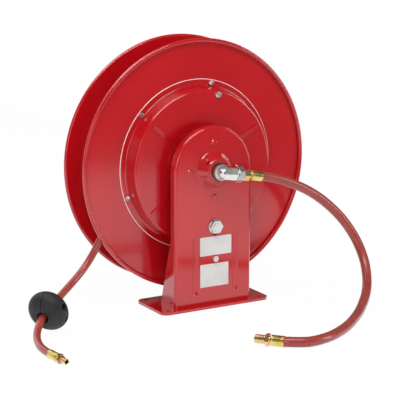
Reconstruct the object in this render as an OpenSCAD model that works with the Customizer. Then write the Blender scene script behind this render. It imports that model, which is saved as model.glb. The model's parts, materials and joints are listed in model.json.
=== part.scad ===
// Spring-rewind hose reel on a single sheet-steel pedestal.
// +Z is up, Y runs along the reel's axis and the inlet faces -Y.
// The origin is the centre of the base's bolt pattern, on its underside.

/* [Base plate] */
// Length of the base plate, left to right
base_w = 285; // [270:1:330]
// Depth of the base plate, front to back
base_d = 134; // [130:1:170]
// Thickness of the base plate
base_t = 6.4; // [4:0.1:10]
// Radius of the base plate's corners
base_corner_r = 18; // [6:1:19]
// Distance between the corner bolts, left to right
bolt_dx = 244; // [236:1:250]
// Distance between the corner bolts, front to back
bolt_dy = 104; // [90:1:108]
// Distance between the two middle bolts
mid_bolt_dx = 236; // [232:1:246]
// Diameter of every mounting hole
bolt_hole_d = 11; // [7:0.5:13]

/* [Pedestal] */
// Height of the reel's axis above the floor
axis_h = 320; // [310:1:360]
// Width of the pedestal
ped_w = 202; // [190:1:214]
// Thickness of the pedestal's sheet
ped_t = 3; // [2:0.1:4]
// Outside radius of the pedestal's bent edge
ped_bend_r = 8; // [5:0.5:12]
// How far the pedestal's front stands in front of the origin
ped_front = 48; // [46:0.5:54]
// Depth of the side walls beside the hub
ped_lip = 21; // [16:1:26]
// Depth of the side walls at the foot
ped_foot = 68; // [50:1:70]
// Height at which the side walls begin to widen
ped_flare_z = 165; // [130:1:200]
// Height of the hub boss in front of the pedestal
boss_h = 24; // [18:1:28]
// Radius of the hub boss at its foot
boss_foot_r = 41; // [38:1:46]
// Radius of the hub boss at its front
boss_front_r = 29; // [27:0.5:32]
// Width of the two pressed grooves
groove_w = 13; // [8:1:18]
// Depth of the pressed grooves
groove_depth = 3; // [1.5:0.5:4]
// Length of the pressed grooves
groove_len = 136; // [90:1:140]
// Height of the grooves' lower ends
groove_z = 32; // [20:1:40]
// Place of the left groove, from the centre line
groove_left = 48; // [44:1:56]
// Place of the right groove, from the centre line
groove_right = 58; // [54:1:66]

/* [Labels] */
// Width of the upper label
upper_label_w = 83; // [60:1:84]
// Height of the upper label
upper_label_h = 44; // [30:1:46]
// Width of the lower label
lower_label_w = 75; // [60:1:84]
// Height of the lower label
lower_label_h = 54; // [40:1:58]
// Distance from the reel's axis down to the middle of the upper label
upper_label_drop = 177; // [175:1:179]
// Distance from the reel's axis down to the middle of the lower label
lower_label_drop = 246; // [243:1:248]
// Thickness of the labels
label_t = 0.5; // [0.3:0.1:1]

/* [Spool] */
// Distance from the origin back to the front disc's rolled rim
reel_y = 31; // [30:0.5:34]
// Distance between the two rolled rims
rim_gap = 96.5; // [96:0.5:108]
// Outer diameter of the discs
disc_d = 584; // [570:1:600]
// Thickness of the discs' sheet
disc_t = 1.6; // [1:0.1:2.5]
// Diameter of the rolled rim
bead_d = 10; // [8:0.5:10]
// Outer radius of the drum
drum_r = 152; // [148:1:156]
// Thickness of the drum's sheet
drum_t = 2; // [1.5:0.1:3]
// Radius of the drum's bolt circle
drum_bolt_r = 141; // [136:0.5:142]

/* [Spring case] */
// Outer radius of the case's flange
case_flange_r = 198.6; // [197:0.1:205]
// Radius of the case's wall at its flange
case_wall_r = 184; // [180:0.5:184.5]
// Radius of the case's wall at its face
case_face_r = 178; // [176:0.5:182]
// Depth of the case, flange to face
case_depth = 35.4; // [34:0.1:38]
// Thickness of the case's sheet
case_t = 2; // [1.5:0.1:3]
// Radius of the screw circle on the flange
case_screw_r = 191; // [190.5:0.1:191.5]
// Height of the pressed ribs on the case's face, at their outer ends
case_rib_h = 4; // [2.5:0.5:4]
// Width of the pressed ribs
case_rib_w = 10; // [9:1:16]
// Radius of the spring's anchor bolt
anchor_r = 168; // [164:0.5:169]
// Width of the power spring's strip
spring_w = 25; // [18:1:27]
// Thickness of the power spring's strip
spring_t = 1.5; // [1:0.1:2]
// Turns of the power spring
spring_turns = 9; // [6:1:11]

/* [Shaft and bearings] */
// Radius of the main shaft
shaft_r = 16; // [14:0.5:17]
// Radius of the passage through the shaft
passage_r = 6; // [4:0.5:7]
// Outer radius of the bushes
bush_r = 20; // [19:0.5:21]
// Length of each bush
bush_len = 25; // [18:1:30]
// Outer radius of the arbor tube
arbor_r = 24; // [23.5:0.5:25]
// Radius of the arbor's flange
arbor_flange_r = 75; // [72:1:80]
// Radius of the arbor's bolt circle
arbor_bolt_r = 63; // [58:0.5:64]
// Radius of the hub plates
hub_plate_r = 60; // [56:1:66]
// Thickness of the hub plates
hub_plate_t = 5; // [4:0.5:7]
// Radius of the hub plates' bolt circle
hub_bolt_r = 45; // [42:0.5:48]

/* [Latch] */
// Place of the latch, from the centre line
latch_x = 4; // [0:0.5:6]
// Distance from the reel's axis down to the latch's pivot
latch_drop = 132; // [131:0.5:134]
// Distance from the reel's axis down to the latch spring's bolt
hook_drop = 208; // [206:0.5:209]
// Tip radius of the ratchet wheel
ratchet_r = 88; // [84:0.5:89]
// Depth of the ratchet's teeth
tooth_h = 8; // [6:0.5:9]
// Number of places round the ratchet wheel, one of them the wide gap
notches = 8; // [6:1:9]
// Angle at which the released pawl leans away
pawl_lean = 31; // [30:1:34]

/* [Inlet swivel] */
// Distance from the origin forward to the inlet's centre line
inlet_front = 90; // [90:0.5:94]
// Angle at which the inlet droops
inlet_droop = 9.5; // [4:0.5:14]
// Radius of the swivel's collar
collar_r = 18.4; // [17:0.1:20]
// Radius of the swivel's spigot on the shaft
spigot_r = 10; // [9:0.5:11]
// Size across the flats of the swivel's arm
elbow_af = 27; // [25:0.1:27.5]
// Size across the flats of the swivel's nut
swivel_nut_af = 33; // [30:0.5:36]

/* [Hoses] */
// Outer diameter of the inlet hose
inlet_hose_d = 22.4; // [20:0.1:22.6]
// Outer diameter of the hose on the spool
reel_hose_d = 17; // [15:0.1:17.1]
// Turns in the outer layer of the winding
wind_turns = 4; // [3:1:4]
// Layers of hose on the drum
wind_layers = 4; // [3:1:4]
// Length of the inlet hose's ferrules
inlet_ferrule_len = 30; // [24:1:34]
// Length of the reel hose's ferrule
outlet_ferrule_len = 32; // [24:1:36]
// Wall of the ferrules, round the hose
ferrule_t = 1; // [0.8:0.1:1.4]
// Size across the flats of the inlet hose's brass hexagons
inlet_hex_af = 25.4; // [23:0.1:25.8]
// Size across the flats of the outlet's brass hexagon
outlet_hex_af = 19; // [17:0.1:19.8]
// Diameter of the inlet's pipe thread
inlet_thread_d = 21.3; // [20:0.1:22]
// Diameter of the outlet's pipe thread
outlet_thread_d = 13.7; // [13:0.1:15]
// Length of the inlet's pipe thread
inlet_thread_len = 20; // [14:1:24]
// Length of the outlet's pipe thread
outlet_thread_len = 18; // [12:1:20]

/* [Hose stop] */
// Diameter of the stop ball
ball_d = 93; // [88:1:94]
// Height of the ball over its poles, had it no flat ends
ball_high = 66; // [62:1:76]
// Length of the ball between its flat ends
ball_len = 56; // [50:1:60]
// Distance of each clamp bolt from the hose's centre line
ball_bolt_off = 16; // [15:0.5:20]
// Angle at which the ball has rolled round the hose
ball_roll = 0; // [0:1:90]

/* [Hidden] */
$fn = 96;

// Colours
red_enamel = "#b8212b";
zinc = "#c6c8c6";
steel = "#86898d";
brass = "#c8a24c";
bronze = "#94703c";
hose_red = "#a8493f";
black_rubber = "#353337";
label_white = "#e6e5e8";

// Clearances
eps = 0.1;
run_gap = 0.05;
free_gap = 0.3;
bolt_gap = 0.1;
sweep_gap = 1.5;

// Planes along the reel's axis, front to back
face_y = -ped_front;
back_y = face_y + ped_t;
boss_y = face_y - boss_h;
near_in = reel_y + bead_d / 2;
near_out = near_in - disc_t;
far_rim = reel_y + rim_gap;
far_in = far_rim - bead_d / 2;
far_out = far_in + disc_t;
mid_y = (near_in + far_in) / 2;
case_y = near_out - case_depth;

// Hardware
head_h = 5;
m8_r = 4;
m8_af = 13;
m6_r = 3;
m6_af = 10;
shell_gap = 1;

// Hub and arbor
hub_hole_r = bush_r + ped_t - 1;
arbor_flange_t = 4;
arbor_end = near_out - 6.4;
arbor_front = boss_y + 2;
key_w = 4;

// Latch
ratchet_t = 6;
ratchet_lift = 6.5;
ratchet_seat_r = 60;
ratchet_y = case_y - ratchet_lift - ratchet_t;
ratchet_screw_r = 48;
pawl_t = 5;
pawl_gap = 0.5;
pawl_y = ratchet_y + pawl_gap;
pawl_nose_w = 8;
pawl_len = latch_drop - ratchet_r + tooth_h - 2.5;
pawl_tail = 18.5;
pawl_pin_r = 2;
pawl_pin_h = 5;
stud_r = 9.5;
stud_neck_r = 8;
stud_end = pawl_y + pawl_t + 2;
latch_nut_af = 28.6;
latch_nut_h = 9;
latch_dish_r = 20;
latch_dish = 1.5;
latch_z = axis_h - latch_drop;
hook_z = axis_h - hook_drop;
peep_r = 3.5;
peep_drop = 18;

// Winding
reel_hose_r = reel_hose_d / 2;
layer_nest = 0.9;
wind_r = drum_r + reel_hose_r + (wind_layers - 1) * reel_hose_d * layer_nest;
wind_end = 178;
wind_rings = 24;
wind_y0 = far_in - reel_hose_r - free_gap;
wind_y1 = near_in + reel_hose_r + free_gap;
core_r = wind_r * cos(180 / wind_rings) - reel_hose_r * sin(60) - eps;

// Inlet, measured from the reel's axis along the drooping centre line
inlet_y = -inlet_front;
elbow_end = 33;
nut_start = 34;
nut_end = 48;
adapter_start = 46;
hex_start = 51;
hex_end = 66;
ferrule_start = 71;
ferrule_wall = 2;
hose_start = ferrule_start + ferrule_wall + free_gap;
neck_r = 9;
elbow_tail_r = 12;
spigot_end = inlet_y - 1;
collar_y = boss_y - 1;
socket_gap = 1;

// Fittings
fit_hex_len = 12;
fit_neck_len = 3;

function unit(v) = v / norm(v);
function droop_at(d) = [d * cos(inlet_droop), inlet_y, axis_h - d * sin(inlet_droop)];

// A point of the smooth curve through b and c, with a before them and d after
function curve_at(a, b, c, d, t) =
  b + (c - a) * t / 2 + (2 * a - 5 * b + 4 * c - d) * t * t / 2 + (3 * b - a - 3 * c + d) * t * t * t / 2;
// A route: straight at both ends and smooth through the points between
route_steps = 4;
function route_through(p) = concat(
  [p[0]],
  [for (i = [1:len(p) - 3]) for (k = [0:route_steps - 1])
    curve_at(p[i - 1], p[i], p[i + 1], p[i + 2], k / route_steps)],
  [p[len(p) - 2], p[len(p) - 1]]);

// Points on the inlet hose: out of the swivel, down and along the floor
inlet_points = [
  droop_at(hose_start), droop_at(104),
  [153, -90, 289.5], [201.5, -90, 270], [247.5, -90, 245], [289, -93, 213.5],
  [324, -102, 176], [347, -120, 133], [352, -148, 89.5], [338, -181.5, 52.5],
  [309.5, -218, 28.5], [274, -254, 16], [237, -290.5, 12], [198.5, -326, 11.4],
  [158.5, -359.5, 11.5], [115, -388.5, 11.5], [67.5, -410.5, 11.5], [16, -417, 11.5],
  [-30.5, -395.5, 13], [-48, -374, 13]
];
inlet_route = route_through(inlet_points);

// The winding's centre line, one ring at a step, with a straight length at each end
wind_steps = wind_turns * wind_rings;
wind_turn = [for (k = [0:wind_steps])
  let (a = wind_end - 360 * (wind_steps - k) / wind_rings)
  [wind_r * cos(a), wind_y0 + (wind_y1 - wind_y0) * k / wind_steps, axis_h + wind_r * sin(a)]];
wind_out = unit([-sin(wind_end), 0, cos(wind_end)]);
wind_start = wind_end - 360 * wind_turns;
wind_in = unit([-sin(wind_start), 0, cos(wind_start)]);
wind_first = wind_turn[0] - reel_hose_d * wind_in;
wind_last = wind_turn[wind_steps] + reel_hose_d * wind_out;
wind_route = concat([wind_first], wind_turn, [wind_last]);

// The ball lies tilted on the floor, with its axis along the hose
ball_dir = unit([-0.763, -0.533, -0.366]);
ball_rest = norm([ball_d / 2 * norm([ball_dir[0], ball_dir[1]]), ball_high / 2 * ball_dir[2]]) + free_gap;
ball_at = [-411.5, -34.5, ball_rest];

// Points on the reel hose: off the winding, through the stop ball and along the floor
outlet_points = [
  wind_last, wind_last + 1.5 * reel_hose_d * wind_out,
  [-210.5, 45, 252], [-222, 45, 215], [-240, 45, 174], [-262, 45, 137], [-288, 39, 108],
  [-323, 22, 86], [-356, 2, 71], ball_at - 30 * ball_dir, ball_at - 10 * ball_dir,
  ball_at + 10 * ball_dir, ball_at + 30 * ball_dir,
  [-456.5, -77, 22], [-472.5, -106.5, 13.5], [-484, -140, 11], [-491, -169, 11],
  [-493, -193, 11], [-493, -217, 11], [-490, -247, 11]
];
outlet_route = route_through(outlet_points);

function route_end(route) = route[len(route) - 1];
function route_dir(route) = unit(route_end(route) - route[len(route) - 2]);
function route_len(route, i = 1) =
  i == len(route) ? 0 : norm(route[i] - route[i - 1]) + route_len(route, i + 1);

// Tangents of a route, and normals carried along it without twist
function tangents(p) = [for (i = [0:len(p) - 1])
  unit(p[min(i + 1, len(p) - 1)] - p[max(i - 1, 0)])];
function flatten_to(v, t) = unit(v - (v * t) * t);
function normals(t, n, i = 0) =
  i == len(t) ? [] : let (m = flatten_to(n, t[i])) concat([m], normals(t, m, i + 1));
function carried(route) = normals(tangents(route), [0, 1, 0]);

// Least distance between stretches of a route that lie more than half a turn apart
function least_gap(p, apart, d) =
  min([for (i = [0:len(p) - 1 - apart]) min([for (j = [i + apart:len(p) - 1]) norm(p[i] - p[j])])]) - d;

echo(winding_gap = least_gap(wind_route, wind_rings / 2, reel_hose_d));
echo(outer_layer_length = route_len(wind_route));
echo(inlet_hose_length = route_len(inlet_route));
echo(outlet_hose_length = route_len(outlet_route));

// A tube swept along a route, with its first side towards the normals n
module tube(route, r, sides, n) {
  t = tangents(route);
  last = len(route) - 1;
  points = [for (i = [0:last]) for (k = [0:sides - 1])
    let (a = 360 * k / sides)
    route[i] + r * cos(a) * n[i] + r * sin(a) * cross(t[i], n[i])];
  walls = [for (i = [0:last - 1]) for (k = [0:sides - 1])
    let (a = i * sides + k, b = i * sides + (k + 1) % sides)
    for (f = [[a, a + sides, b], [b, a + sides, b + sides]]) f];
  front = [for (k = [1:sides - 2]) [0, k, k + 1]];
  back = [for (k = [1:sides - 2]) [last * sides, last * sides + k + 1, last * sides + k]];
  polyhedron(points = points, faces = concat(walls, front, back));
}

// Places things round the reel's axis: their +Z points back along +Y
module on_axis(y) {
  translate([0, y, axis_h])
    rotate([-90, 0, 0])
      children();
}

// Places things with their +Z along a direction
module along(at, dir) {
  translate(at)
    rotate([0, acos(dir[2]), atan2(dir[1], dir[0])])
      children();
}

// Places things along the drooping inlet
module on_inlet(d) {
  along(droop_at(d), [cos(inlet_droop), 0, -sin(inlet_droop)])
    children();
}

// Places things on the stop ball, with their +Z along the hose and their X across it
module on_ball() {
  translate(ball_at)
    rotate([0, 0, atan2(ball_dir[1], ball_dir[0]) + 90])
      rotate([acos(ball_dir[2]), 0, 0])
        rotate([0, 0, ball_roll])
          children();
}

module polar(count, r, start = 0) {
  for (i = [0:count - 1])
    rotate([0, 0, start + i * 360 / count])
      translate([r, 0, 0])
        children();
}

module ring(r_out, r_in, h) {
  difference() {
    cylinder(r = r_out, h = h);
    translate([0, 0, -eps])
      cylinder(r = r_in, h = h + 2 * eps);
  }
}

module hexagon(af, h) {
  cylinder(d = af / cos(30), h = h, $fn = 6);
}

// Hexagon-headed screw: its head stands at z < 0 and its shank runs along +Z
module hex_screw(r, af, head, length) {
  translate([0, 0, -head])
    hexagon(af, head);
  cylinder(r = r, h = length);
}

// A slot's outline with round ends, along X
module slot_2d(length, w) {
  translate([-(length - w) / 2, -w / 2])
    square([length - w, w]);
  for (side = [-1, 1])
    translate([side * (length - w) / 2, 0])
      circle(d = w);
}

module rounded_rect_2d(w, d, r) {
  square([w - 2 * r, d], center = true);
  square([w, d - 2 * r], center = true);
  for (x = [-1, 1], y = [-1, 1])
    translate([x * (w / 2 - r), y * (d / 2 - r)])
      circle(r = r);
}

// ---- Base and pedestal ----

module base_holes() {
  for (x = [-1, 1], y = [-1, 1])
    translate([x * bolt_dx / 2, y * bolt_dy / 2, -eps])
      cylinder(d = bolt_hole_d, h = base_t + 2 * eps);
  for (x = [-1, 1])
    translate([x * mid_bolt_dx / 2, 0, -eps])
      cylinder(d = bolt_hole_d, h = base_t + 2 * eps);
}

module base_plate() {
  color(red_enamel)
    difference() {
      linear_extrude(base_t)
        rounded_rect_2d(base_w, base_d, base_corner_r);
      base_holes();
    }
}

// Half of the pedestal's section: the front sheet, its bend and its side
module ped_section_2d(depth) {
  half = ped_w / 2;
  square([half - ped_bend_r, ped_t]);
  translate([half - ped_t, ped_bend_r])
    square([ped_t, depth - ped_bend_r]);
  translate([half - ped_bend_r, ped_bend_r])
    intersection() {
      difference() {
        circle(r = ped_bend_r);
        circle(r = ped_bend_r - ped_t);
      }
      translate([0, -ped_bend_r])
        square([ped_bend_r, ped_bend_r]);
    }
}

module ped_shell() {
  on_axis(face_y)
    rotate([0, 0, 180])
      rotate_extrude(angle = 180)
        ped_section_2d(ped_lip);
  for (side = [0, 1])
    mirror([side, 0, 0]) {
      translate([0, face_y, base_t])
        linear_extrude(axis_h - base_t)
          ped_section_2d(ped_bend_r + 1);
      translate([ped_w / 2 - ped_t, 0, 0])
        ped_side();
    }
}

// One side wall, which widens towards its foot
module ped_side() {
  front = face_y + ped_bend_r;
  rotate([90, 0, 90])
    linear_extrude(ped_t)
      polygon([
        [front, base_t],
        [face_y + ped_foot, base_t],
        [face_y + ped_lip, ped_flare_z],
        [face_y + ped_lip, axis_h],
        [front, axis_h]
      ]);
}

// The drawn boss round the hub
module hub_boss() {
  wall = ped_t;
  on_axis(face_y)
    rotate_extrude()
      polygon([
        [boss_foot_r + wall, 0],
        [boss_foot_r, -wall],
        [boss_front_r + wall, -boss_h + wall],
        [boss_front_r, -boss_h],
        [hub_hole_r, -boss_h],
        [hub_hole_r, -boss_h + wall],
        [boss_front_r - 1, -boss_h + wall],
        [boss_front_r, -boss_h + 2 * wall],
        [boss_foot_r - wall, 0],
        [boss_foot_r - wall, wall],
        [boss_foot_r + wall, wall]
      ]);
}

// A pressed groove: a tray that stands behind the sheet
module groove_tray(w, length) {
  difference() {
    linear_extrude(groove_depth + ped_t)
      slot_2d(length, w);
    translate([0, 0, -eps])
      linear_extrude(groove_depth + eps)
        slot_2d(length - 2 * ped_t, w - 2 * ped_t);
  }
}

module on_groove(x) {
  translate([x, face_y, groove_z + groove_len / 2])
    rotate([-90, 90, 0])
      children();
}

// The small slot in the boss's upper left
module boss_slot() {
  slot_angle = 140;
  on_axis(face_y - boss_h / 2 - 5)
    rotate([0, 0, -slot_angle])
      translate([boss_front_r + 1, 0, 0])
        cube([14, 11, 4.5], center = true);
}

module pedestal() {
  color(red_enamel)
    difference() {
      union() {
        difference() {
          ped_shell();
          on_axis(face_y - eps)
            cylinder(r = boss_foot_r, h = ped_t + 2 * eps);
          for (x = [-groove_left, groove_right])
            on_groove(x)
              translate([0, 0, -eps])
                linear_extrude(ped_t + 2 * eps)
                  slot_2d(groove_len - eps, groove_w - eps);
        }
        hub_boss();
        for (x = [-groove_left, groove_right])
          on_groove(x)
            groove_tray(groove_w, groove_len);
      }
      boss_slot();
      on_axis(face_y - eps) {
        polar(4, arbor_bolt_r)
          cylinder(r = m8_r + bolt_gap, h = ped_t + 2 * eps);
        translate([latch_x, latch_drop, 0]) {
          cylinder(r = stud_r + bolt_gap, h = ped_t + 2 * eps);
          cylinder(r = latch_dish_r, h = latch_dish + eps);
          translate([0, peep_drop, 0])
            cylinder(r = peep_r, h = ped_t + 2 * eps);
        }
        translate([latch_x, hook_drop, 0])
          cylinder(r = m8_r + bolt_gap, h = ped_t + 2 * eps);
      }
    }
}

module label_plate(w, h, x, drop) {
  color(label_white)
    translate([x, face_y, axis_h - drop])
      rotate([90, 0, 0])
        linear_extrude(label_t)
          rounded_rect_2d(w, h, 2);
}

module upper_label() {
  label_plate(upper_label_w, upper_label_h, 5.5, upper_label_drop);
}

module lower_label() {
  label_plate(lower_label_w, lower_label_h, 2, lower_label_drop);
}

// ---- Arbor and bearings, fixed to the pedestal ----

module spring_arbor() {
  color(steel)
    difference() {
      union() {
        on_axis(arbor_front)
          cylinder(r = bush_r + 1.5, h = back_y - arbor_front);
        on_axis(back_y)
          cylinder(r = arbor_r, h = arbor_end - back_y);
        on_axis(back_y)
          cylinder(r = arbor_flange_r, h = arbor_flange_t);
      }
      on_axis(arbor_front - eps)
        cylinder(r = bush_r, h = arbor_end - arbor_front + 2 * eps);
      on_axis(back_y - eps)
        polar(4, arbor_bolt_r)
          cylinder(r = m8_r + bolt_gap, h = arbor_flange_t + 2 * eps);
      on_axis(arbor_end - spring_w - 2)
        rotate([0, 0, spiral_a(0)])
          translate([bush_r + 0.5, -key_w / 2, 0])
            cube([arbor_r, key_w, spring_w + 3]);
    }
}

// Round-headed bolts through the pedestal and the arbor's flange, with their nuts
module arbor_bolts() {
  dome_r = 8;
  dome_h = 3.2;
  nut_h = 6;
  color(red_enamel)
    on_axis(face_y)
      polar(4, arbor_bolt_r) {
        translate([0, 0, -dome_h])
          cylinder(r1 = dome_r - 3, r2 = dome_r, h = dome_h);
        cylinder(r = m8_r, h = ped_t + arbor_flange_t + nut_h + 2);
        translate([0, 0, ped_t + arbor_flange_t])
          hexagon(m8_af, nut_h);
      }
}

module bush(y) {
  color(bronze)
    on_axis(y)
      ring(bush_r, shaft_r + run_gap, bush_len);
}

module front_bush() {
  bush(arbor_front);
}

module rear_bush() {
  bush(arbor_end - bush_len);
}

// ---- Latch ----

module on_latch(y) {
  translate([latch_x, y, latch_z])
    rotate([-90, 0, 0])
      children();
}

module latch_stud() {
  color(zinc)
    difference() {
      union() {
        on_latch(face_y - latch_nut_h - 2.5)
          cylinder(r = stud_r, h = pawl_y - face_y + latch_nut_h + 2.5);
        on_latch(pawl_y)
          cylinder(r = stud_neck_r, h = stud_end - pawl_y);
      }
      on_latch(pawl_y + pawl_t + 0.2)
        ring(stud_neck_r + 1, stud_neck_r - 1, 1.2);
    }
}

module latch_washer() {
  color(zinc)
    on_latch(face_y + latch_dish - 2)
      ring(17, stud_r + bolt_gap, 2);
}

module latch_nut() {
  color(zinc)
    on_latch(face_y + latch_dish - 2 - latch_nut_h)
      difference() {
        hexagon(latch_nut_af, latch_nut_h);
        translate([0, 0, -eps])
          cylinder(r = stud_r + run_gap, h = latch_nut_h + 2 * eps);
      }
}

module latch_spacer() {
  color(steel)
    on_latch(back_y)
      ring(12.5, stud_r + bolt_gap, pawl_y - back_y - 0.2);
}

module latch_clip() {
  color(steel)
    on_latch(pawl_y + pawl_t + 0.3)
      difference() {
        cylinder(r = 11, h = 1);
        translate([0, 0, -eps])
          cylinder(r = stud_neck_r - 0.9, h = 1 + 2 * eps);
        translate([0, -3, -eps])
          cube([12, 6, 1 + 2 * eps]);
      }
}

// The pawl's place: its local Y points down and it leans to -X at rest
module on_pawl() {
  on_latch(pawl_y)
    rotate([0, 0, -pawl_lean])
      children();
}

module latch_pawl() {
  color(zinc)
    on_pawl()
      difference() {
        union() {
          linear_extrude(pawl_t) {
            circle(r = 13);
            translate([0, pawl_tail])
              circle(r = 5);
            translate([-5, 0])
              square([10, pawl_tail]);
            polygon([
              [-11, -7],
              [-pawl_nose_w / 2, -pawl_len],
              [pawl_nose_w / 2, -pawl_len],
              [11, -7]
            ]);
          }
          translate([0, pawl_tail, -pawl_pin_h])
            cylinder(r = pawl_pin_r, h = pawl_pin_h);
        }
        translate([0, 0, -eps])
          cylinder(r = stud_neck_r + run_gap, h = pawl_t + 2 * eps);
      }
}

module latch_hook_bolt() {
  tail = 34;
  color(zinc)
    on_axis(face_y)
      translate([latch_x, hook_drop, 0])
        hex_screw(m8_r, m8_af, head_h, tail);
  color(zinc)
    on_axis(back_y)
      translate([latch_x, hook_drop, 0])
        difference() {
          hexagon(m8_af, 6);
          translate([0, 0, -eps])
            cylinder(r = m8_r, h = 6 + 2 * eps);
        }
}

// Extension spring from the pin on the pawl's tail down to the hook bolt
wire_r = 0.8;
coil_r = 4.5;
coil_turns = 11;
coil_rings = 8;
hook_gap = 0.4;
tail_at = [latch_x + pawl_tail * sin(pawl_lean), latch_z - pawl_tail * cos(pawl_lean)];
hook_at = [latch_x, hook_z];
pull = unit(hook_at - tail_at);
pull_side = [-pull[1], pull[0]];
tail_loop = pawl_pin_r + wire_r + hook_gap;
hook_loop = m8_r + wire_r + hook_gap;
loop_lead = 6;
pull_len = norm(hook_at - tail_at);
coil_from = tail_loop + loop_lead;
coil_to = pull_len - hook_loop - loop_lead;
spring_y = pawl_y - pawl_pin_h / 2;

// A point given along the pull, across it and along the reel's axis
function on_pull(a, s, y) = [
  tail_at[0] + a * pull[0] + s * pull_side[0],
  spring_y + y,
  tail_at[1] + a * pull[1] + s * pull_side[1]
];
coil_steps = coil_turns * coil_rings;
spring_route = concat(
  [for (a = [-60:40:140]) on_pull(tail_loop * cos(a + 180), tail_loop * sin(a), 0)],
  [for (k = [0:coil_steps])
    let (a = 360 * k / coil_rings)
    on_pull(coil_from + (coil_to - coil_from) * k / coil_steps, coil_r * cos(a), coil_r * sin(a))],
  [for (a = [140:-40:-60]) on_pull(pull_len - hook_loop * cos(a + 180), hook_loop * sin(a), 0)]
);
echo(latch_spring_gap = least_gap(spring_route, coil_rings / 2 + 1, 2 * wire_r));

module latch_spring() {
  color(steel)
    tube(spring_route, wire_r, 6, carried(spring_route));
}

// ---- Spool ----

// One disc: flat sheet with a hollow rolled rim, the rim turned to -Z
module disc() {
  bead_r = bead_d / 2;
  rim_r = disc_d / 2 - bead_r;
  lip_gap = 1.2;
  difference() {
    rotate_extrude()
      difference() {
        union() {
          translate([shaft_r + bolt_gap, bead_r - disc_t])
            square([rim_r - shaft_r - bolt_gap, disc_t]);
          translate([rim_r, 0])
            circle(r = bead_r);
        }
        translate([rim_r, 0])
          circle(r = bead_r - disc_t);
        translate([rim_r - bead_r - eps, bead_r - disc_t - lip_gap])
          square([bead_r, lip_gap]);
      }
    polar(4, hub_bolt_r, 45)
      cylinder(r = m8_r + bolt_gap, h = bead_d);
    polar(6, drum_bolt_r, 30)
      cylinder(r = m6_r + bolt_gap, h = bead_d);
  }
}

module front_disc() {
  color(red_enamel)
    difference() {
      on_axis(reel_y)
        disc();
      on_axis(reel_y)
        case_screw_places()
          cylinder(r = m6_r + bolt_gap, h = bead_d);
    }
}

module rear_disc() {
  color(red_enamel)
    on_axis(far_rim)
      mirror([0, 0, 1])
        disc();
}

module drum() {
  lip = 17;
  color(red_enamel)
    difference() {
      on_axis(near_in)
        difference() {
          cylinder(r = drum_r, h = far_in - near_in);
          translate([0, 0, drum_t])
            cylinder(r = drum_r - drum_t, h = far_in - near_in - 2 * drum_t);
          translate([0, 0, -eps])
            cylinder(r = drum_r - drum_t - lip, h = far_in - near_in + 2 * eps);
          translate([0, 0, -eps])
            polar(6, drum_bolt_r, 30)
              cylinder(r = m6_r + bolt_gap, h = far_in - near_in + 2 * eps);
        }
      translate([0, mid_y, axis_h])
        cylinder(r = riser_r + bolt_gap, h = drum_r + 2);
    }
}

// Screws through both discs into the drum's lips, with their nuts
module drum_bolts() {
  nut_h = 4;
  shank = disc_t + drum_t + nut_h + 1;
  color(zinc) {
    on_axis(near_out)
      polar(6, drum_bolt_r, 30)
        drum_bolt(shank, nut_h);
    on_axis(far_out)
      mirror([0, 0, 1])
        polar(6, drum_bolt_r, 30)
          drum_bolt(shank, nut_h);
  }
}

module drum_bolt(shank, nut_h) {
  hex_screw(m6_r, m6_af, 3, shank);
  translate([0, 0, disc_t + drum_t])
    hexagon(m6_af, nut_h);
}

// ---- Spring case ----

module case_screw_places() {
  for (a = [78.5, 138.5, 198.5, 258.5])
    rotate([0, 0, -a])
      translate([case_screw_r, 0, 0])
        children();
}

// The four pressed ribs rise outwards: w is the outline's width, sunk lowers their tops
module case_ribs(w, sunk) {
  rib_in = 110;
  rib_out = case_face_r - 11;
  low = 0.4;
  rise = case_rib_h - low;
  middle = (rib_in + rib_out) / 2;
  for (a = [30, 141.5, 216, 324])
    rotate([0, 0, -a])
      intersection() {
        translate([middle, 0, -case_rib_h])
          linear_extrude(case_rib_h + 1)
            slot_2d(rib_out - rib_in - case_rib_w + w, w);
        rotate([90, 0, 0])
          linear_extrude(2 * case_rib_w, center = true)
            polygon([
              [rib_in, sunk - low], [rib_out, sunk - low - rise],
              [rib_out, case_rib_h], [rib_in, case_rib_h]
            ]);
      }
}

module spring_case() {
  wall = case_t;
  hole_r = arbor_r + sweep_gap;
  color(red_enamel)
    on_axis(case_y)
      difference() {
        union() {
          rotate_extrude()
            polygon([
              [hole_r, 0],
              [case_face_r - 4, 0],
              [case_face_r - 1.2, 1.2],
              [case_face_r, 4],
              [case_wall_r, case_depth - wall],
              [case_flange_r, case_depth - wall],
              [case_flange_r, case_depth],
              [case_wall_r - wall, case_depth],
              [case_face_r - wall, 4],
              [case_face_r - wall - 2, wall],
              [hole_r, wall]
            ]);
          case_ribs(case_rib_w, 0);
        }
        translate([0, 0, wall - 0.4 + eps])
          case_ribs(case_rib_w - 2 * wall, 0.4 - eps);
        case_screw_places()
          cylinder(r = m6_r + bolt_gap, h = case_depth + eps);
        rotate([0, 0, -anchor_angle])
          translate([anchor_r, 0, -eps])
            cylinder(r = m8_r + bolt_gap, h = wall + 2 * eps);
        translate([0, 0, -eps])
          polar(4, ratchet_screw_r, 45)
            cylinder(r = m6_r + bolt_gap, h = wall + 2 * eps);
      }
}

anchor_angle = 77;

// Thread-forming screws that end flush inside the disc, clear of the hose
module case_screws() {
  color(zinc)
    on_axis(near_out - case_t)
      case_screw_places()
        hex_screw(m6_r, m6_af, 4.5, case_t + disc_t - eps);
}

module spring_anchor_bolt() {
  color(zinc)
    on_axis(case_y)
      rotate([0, 0, -anchor_angle])
        translate([anchor_r, 0, 0])
          hex_screw(m8_r, m8_af, head_h, case_depth - disc_t - 2);
}

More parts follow.
